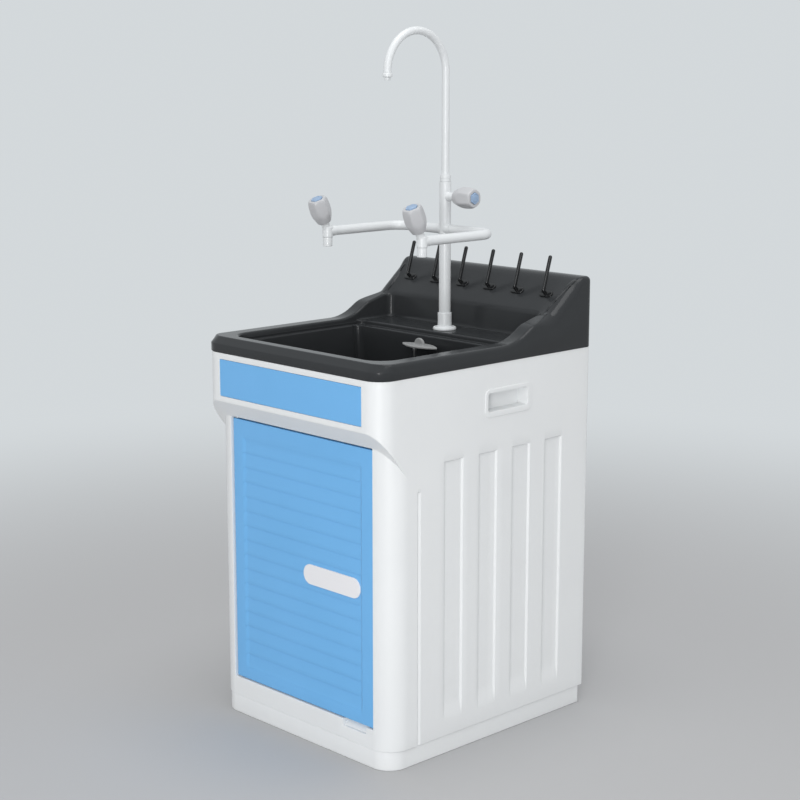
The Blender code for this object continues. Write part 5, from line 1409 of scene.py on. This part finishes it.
def hexagon_rings(stations, foot, axis, turn, reach_at, steps=96):
    """Rings about an axis, one for each station of (size, distance along the axis)."""
    axis, side, other = frame_about(axis)
    rings = []
    for size, along in stations:
        ring = []
        for step in range(steps):
            angle = 2 * math.pi * step / steps
            way = side * math.cos(angle + turn) + other * math.sin(angle + turn)
            ring.append(foot + axis * along + way * reach_at(angle, size, along))
        rings.append(ring)
    return rings


def make_knob(hand, foot, axis, turn):
    def skin(angle, inset, along):
        return knob_reach(angle, along) - inset

    def seat(angle, corner, along):
        return hexagon_reach(angle, corner)

    stations = [(0.0040, SEAT_GAP), (0.0006, SEAT_GAP), (0.0001, 0.0008)]
    stations += [(0.0, 0.0014 + 0.0008 * step) for step in range(56)]
    stations += [(0.0, 0.0466 + 0.0004 * step) for step in range(15)]
    stations += [(0.0001, 0.0526), (0.0004, 0.0529), (0.0009, 0.0530)]
    dish = [(0.0142, 0.0530), (0.0136, 0.0530), (0.0131, 0.0529), (0.0128, 0.0524), (0.0124, 0.0522),
            (0.0122, 0.0518), (0.0122, CAP_SEAT - SEAT_GAP), (0.0040, CAP_SEAT - SEAT_GAP)]
    rings = hexagon_rings(stations, foot, axis, turn, skin) + hexagon_rings(dish, foot, axis, turn, seat)
    body = f"{hand}_tap_knob"
    ring_piece(f"{hand}_hand_knob", rings, KNOB_GREY, f"{hand}_knob", body=body, sharp=50)
    cap = [(0.0112, CAP_SEAT), (0.0119, CAP_SEAT), (CAP_CORNER, CAP_SEAT + 0.0004)]
    cap += [(CAP_CORNER - CAP_ROLL * way_in, CAP_END - CAP_ROLL * drop) for way_in, drop in quarter_round(6)]
    cap += [(0.0098, CAP_END), (0.0093, CAP_END - 0.0004), (0.0088, CAP_END - 0.0004), (0.0083, CAP_END),
            (0.0040, CAP_END + 0.0003)]
    rings = hexagon_rings(cap, foot, axis, turn, seat)
    ring_piece(f"{hand}_cap", rings, CAP_BLUE, f"{hand}_knob_cap", body=body, sharp=40)


def make_knobs():
    for hand, _ in HANDS:
        make_knob(hand, valve_middle(hand) + KNOB_AXIS * NECK_REACH, KNOB_AXIS, 0.0)
    foot = Vector((UPPER_NECK_REACH, TAP_Y, UPPER_NECK_LEVEL))
    make_knob("upper", foot, ACROSS, math.radians(30))


# Waste and lift-out plug

HANDLE_LENGTH = 0.103
HANDLE_WIDTH = 0.040
HANDLE_THICKNESS = 0.005
HANDLE_POINTS = 96
HANDLE_EDGE = ((0.94, 0.0), (0.985, 0.0006), (1.0, 0.0016), (1.0, 0.0030), (0.97, 0.0043), (0.90, 0.0050))
HANDLE_GRAIN = 0.0008
TAB_RADIUS = 0.014
TAB_HALF = 0.003


def lens_outline():
    """The handle in plan: long, pointed at both ends."""
    points = []
    for step in range(HANDLE_POINTS):
        angle = 2 * math.pi * step / HANDLE_POINTS
        across = math.sin(angle) * abs(math.sin(angle)) ** 0.8
        points.append(Vector((math.cos(angle) * HANDLE_LENGTH / 2, across * HANDLE_WIDTH / 2)))
    return points


def make_plug_handle():
    low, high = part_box("plug_handle")
    middle = Vector(((low.x + high.x) / 2, (low.y + high.y) / 2, low.z))
    plate = []
    for share, height in HANDLE_EDGE:
        ring = [Vector((point.x * share, point.y * share, height)) for point in lens_outline()]
        plate.append([middle + point for point in ring])
    tab = []
    rise = UP * (HANDLE_THICKNESS * 0.5)
    round_top = arc((0, 0), TAB_RADIUS, 0, 180, 40)
    outline = [Vector((point.x, point.y + HANDLE_THICKNESS * 0.5)) for point in round_top]
    outline += [Vector((-TAB_RADIUS, 0)), Vector((TAB_RADIUS, 0))]
    for share, y in ((0.92, -TAB_HALF), (1.0, -TAB_HALF * 0.6), (1.0, TAB_HALF * 0.6), (0.92, TAB_HALF)):
        tab.append([middle + rise + Vector((point.x * share, y, point.y * share)) for point in outline])

    def build(work):
        add_rings(work, plate, *CLOSED)
        add_rings(work, tab, *CLOSED)
        bmesh.ops.recalc_face_normals(work, faces=work.faces)

    piece = stand("plug_grip", mesh_from("plug_grip", build, 45), LIGHT_GREY, "plug_handle", body="plug")
    return melt(piece, HANDLE_GRAIN, 5)


def foot_of(node):
    """The middle of a node's lower side, its height and half its width."""
    low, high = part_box(node)
    middle = middle_of(node)
    return Vector((middle.x, middle.y, low.z)), high.z - low.z, (high.x - low.x) / 2


def make_plug():
    foot, tall, _ = foot_of("plug_rod")
    rod = [(0, 0), (0.0055, 0), (0.0055, 0.0020), (0.0030, 0.0034), (0.0030, tall - 0.0060),
           (0.0042, tall - 0.0050), (0.0042, tall), (0, tall)]
    radii = (0.0003, 0.0006, 0.0012, 0.0004, 0.0003, 0.0003)
    lathe("plug_stem", rod, radii, foot, UP, STEEL, "plug_rod", body="plug", steps=32)
    foot, tall, wide = foot_of("drain_plug")
    plug = [(0, 0), (0.0158, 0), (wide - 0.0008, tall - 0.0052), (wide - 0.0014, tall - 0.0044),
            (wide, tall - 0.0036), (wide, tall), (0.0125, tall), (0.0110, tall - 0.0010), (0, tall - 0.0010)]
    radii = (0.0016, 0.0004, 0.0004, 0.0008, 0.0012, 0.0008, 0.0008)
    lathe("rubber_plug", plug, radii, foot, UP, BLACK_RUBBER, "drain_plug", body="plug")


def make_drain():
    foot, tall, wide = foot_of("drain_flange")
    outline = filleted(
        [(0.0165, -0.0460), (0.0225, -0.0460), (0.0225, 0.0), (wide, 0.0), (wide, 0.0009),
         (wide - 0.0060, 0.0030), (0.0187, 0.0030), (0.0167, -0.0130)],
        (0.0005, 0, 0.0002, 0.0006, 0.0030, 0.0012), 5)
    return ring_solid("waste_flange", outline, foot + UP * (tall - 0.0030), STEEL, "drain_flange")


make_sink_top()
for peg_number in range(1, 7):
    make_peg(peg_number)
make_front_frame()
for hand_name, hand_side in HANDS:
    make_side_panel(hand_name, hand_side)
    make_hand_grip(hand_name, hand_side)
    make_branch(hand_name, hand_side)
    make_valve(hand_name)
    make_outlet(hand_name)
make_back_panel()
make_plinth()
make_door()
make_fascia()
make_label()
make_tap_base()
make_column()
make_spout()
make_collar()
make_knobs()
make_plug_handle()
make_plug()
make_drain()


# Floor, light and camera

FLOOR_COLOUR = (0.455, 0.458, 0.465, 1)
FLOOR_RADIUS = 14.0
FADE_START = 0.8
FADE_END = 3.3
BACKDROP_COLOUR = (0.655, 0.69, 0.71, 1)
AMBIENT_COLOUR = (0.98, 0.99, 1.0, 1)
AMBIENT_STRENGTH = 0.74


def seen_rays(tree):
    """One for rays that see the backdrop: from the camera, off gloss or through glass."""
    path = add_node(tree, "ShaderNodeLightPath")
    first = add_sum(tree, "MAXIMUM")
    both = add_sum(tree, "MAXIMUM")
    wire(tree,
         (path, "Is Camera Ray", first, 0), (path, "Is Glossy Ray", first, 1),
         (first, 0, both, 0), (path, "Is Transmission Ray", both, 1))
    return both


def make_floor():
    """A round floor that fades into the backdrop."""
    mesh = bpy.data.meshes.new("studio_floor")
    work = bmesh.new()
    bmesh.ops.create_circle(work, cap_ends=True, segments=128, radius=FLOOR_RADIUS)
    work.to_mesh(mesh)
    work.free()
    material, tree, shader = new_material("studio_floor")
    shader.inputs["Base Color"].default_value = FLOOR_COLOUR
    shader.inputs["Roughness"].default_value = 0.8
    shader.inputs["Specular IOR Level"].default_value = 0.1
    place = add_node(tree, "ShaderNodeTexCoord")
    reach = add_node(tree, "ShaderNodeVectorMath", operation="LENGTH")
    fade = add_range(tree, FADE_START, FADE_END, interpolation_type="SMOOTHSTEP")
    seen = seen_rays(tree)
    share = add_sum(tree, "MULTIPLY")
    glow = add_node(tree, "ShaderNodeEmission", {"Color": BACKDROP_COLOUR, "Strength": 1.0})
    mix = add_node(tree, "ShaderNodeMixShader")
    wire(tree,
         (place, "Object", reach, 0), (reach, "Value", fade, 0), (fade, 0, share, 0), (seen, 0, share, 1),
         (share, 0, mix, "Fac"), (shader, 0, mix, 1), (glow, 0, mix, 2),
         (mix, 0, tree.nodes["Material Output"], "Surface"))
    mesh.materials.append(material)
    put("studio_floor", mesh)


def make_world():
    """Even light all round, behind it the backdrop that the camera sees."""
    world = bpy.data.worlds.new("studio")
    bpy.context.scene.world = world
    world.use_nodes = True
    tree = world.node_tree
    ambient = tree.nodes["Background"]
    ambient.inputs["Color"].default_value = AMBIENT_COLOUR
    ambient.inputs["Strength"].default_value = AMBIENT_STRENGTH
    backdrop = add_node(tree, "ShaderNodeBackground", {"Color": BACKDROP_COLOUR, "Strength": 1.0})
    mix = add_node(tree, "ShaderNodeMixShader")
    wire(tree,
         (seen_rays(tree), 0, mix, "Fac"), (ambient, 0, mix, 1), (backdrop, 0, mix, 2),
         (mix, 0, tree.nodes["World Output"], "Surface"))


def aim_at(thing, place, target):
    thing.location = place
    thing.rotation_euler = (Vector(target) - Vector(place)).to_track_quat("-Z", "Y").to_euler()


def soft_light(name, place, target, size, power, tall=None):
    lamp = bpy.data.lights.new(name, "AREA")
    lamp.shape = "RECTANGLE" if tall else "DISK"
    lamp.size = size
    lamp.size_y = tall or size
    lamp.energy = power
    aim_at(put(name, lamp), place, target)


def make_camera():
    lens = bpy.data.cameras.new("camera")
    lens.sensor_fit = "HORIZONTAL"
    lens.sensor_width = CAMERA_SENSOR
    lens.lens = CAMERA_LENS
    lens.clip_end = 100
    camera = put("camera", lens)
    aim_at(camera, CAMERA_EYE, CAMERA_TARGET)
    bpy.context.scene.camera = camera


make_floor()
make_world()
soft_light("key", (3.0, -3.5, 3.4), (0, 0, 0.7), 2.4, 42)
soft_light("overhead", (0.4, 0.0, 4.0), (0, 0, 0.8), 2.2, 36)
soft_light("low_front", (2.55, -3.15, 0.78), (0, 0, 0.6), 0.70, 54, 1.5)
make_camera()
bpy.context.scene.view_settings.view_transform = "Standard"

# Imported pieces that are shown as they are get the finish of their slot
SLOT_FINISHES = {each.slot: each.material for each in (
    WHITE_MOULDING, BLUE_MOULDING, BLACK_MOULDING, LABEL_WHITE, TAP_WHITE, KNOB_GREY, CAP_BLUE, STEEL,
    LIGHT_GREY, BLACK_RUBBER)}
for node_name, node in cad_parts.items():
    if not node.hide_render:
        slot_name = node.material_slots[0].name if node.material_slots else ""
        finish_name = next((key for key in SLOT_FINISHES if key in slot_name), WHITE_MOULDING.slot)
        node.data.materials.clear()
        node.data.materials.append(SLOT_FINISHES[finish_name])
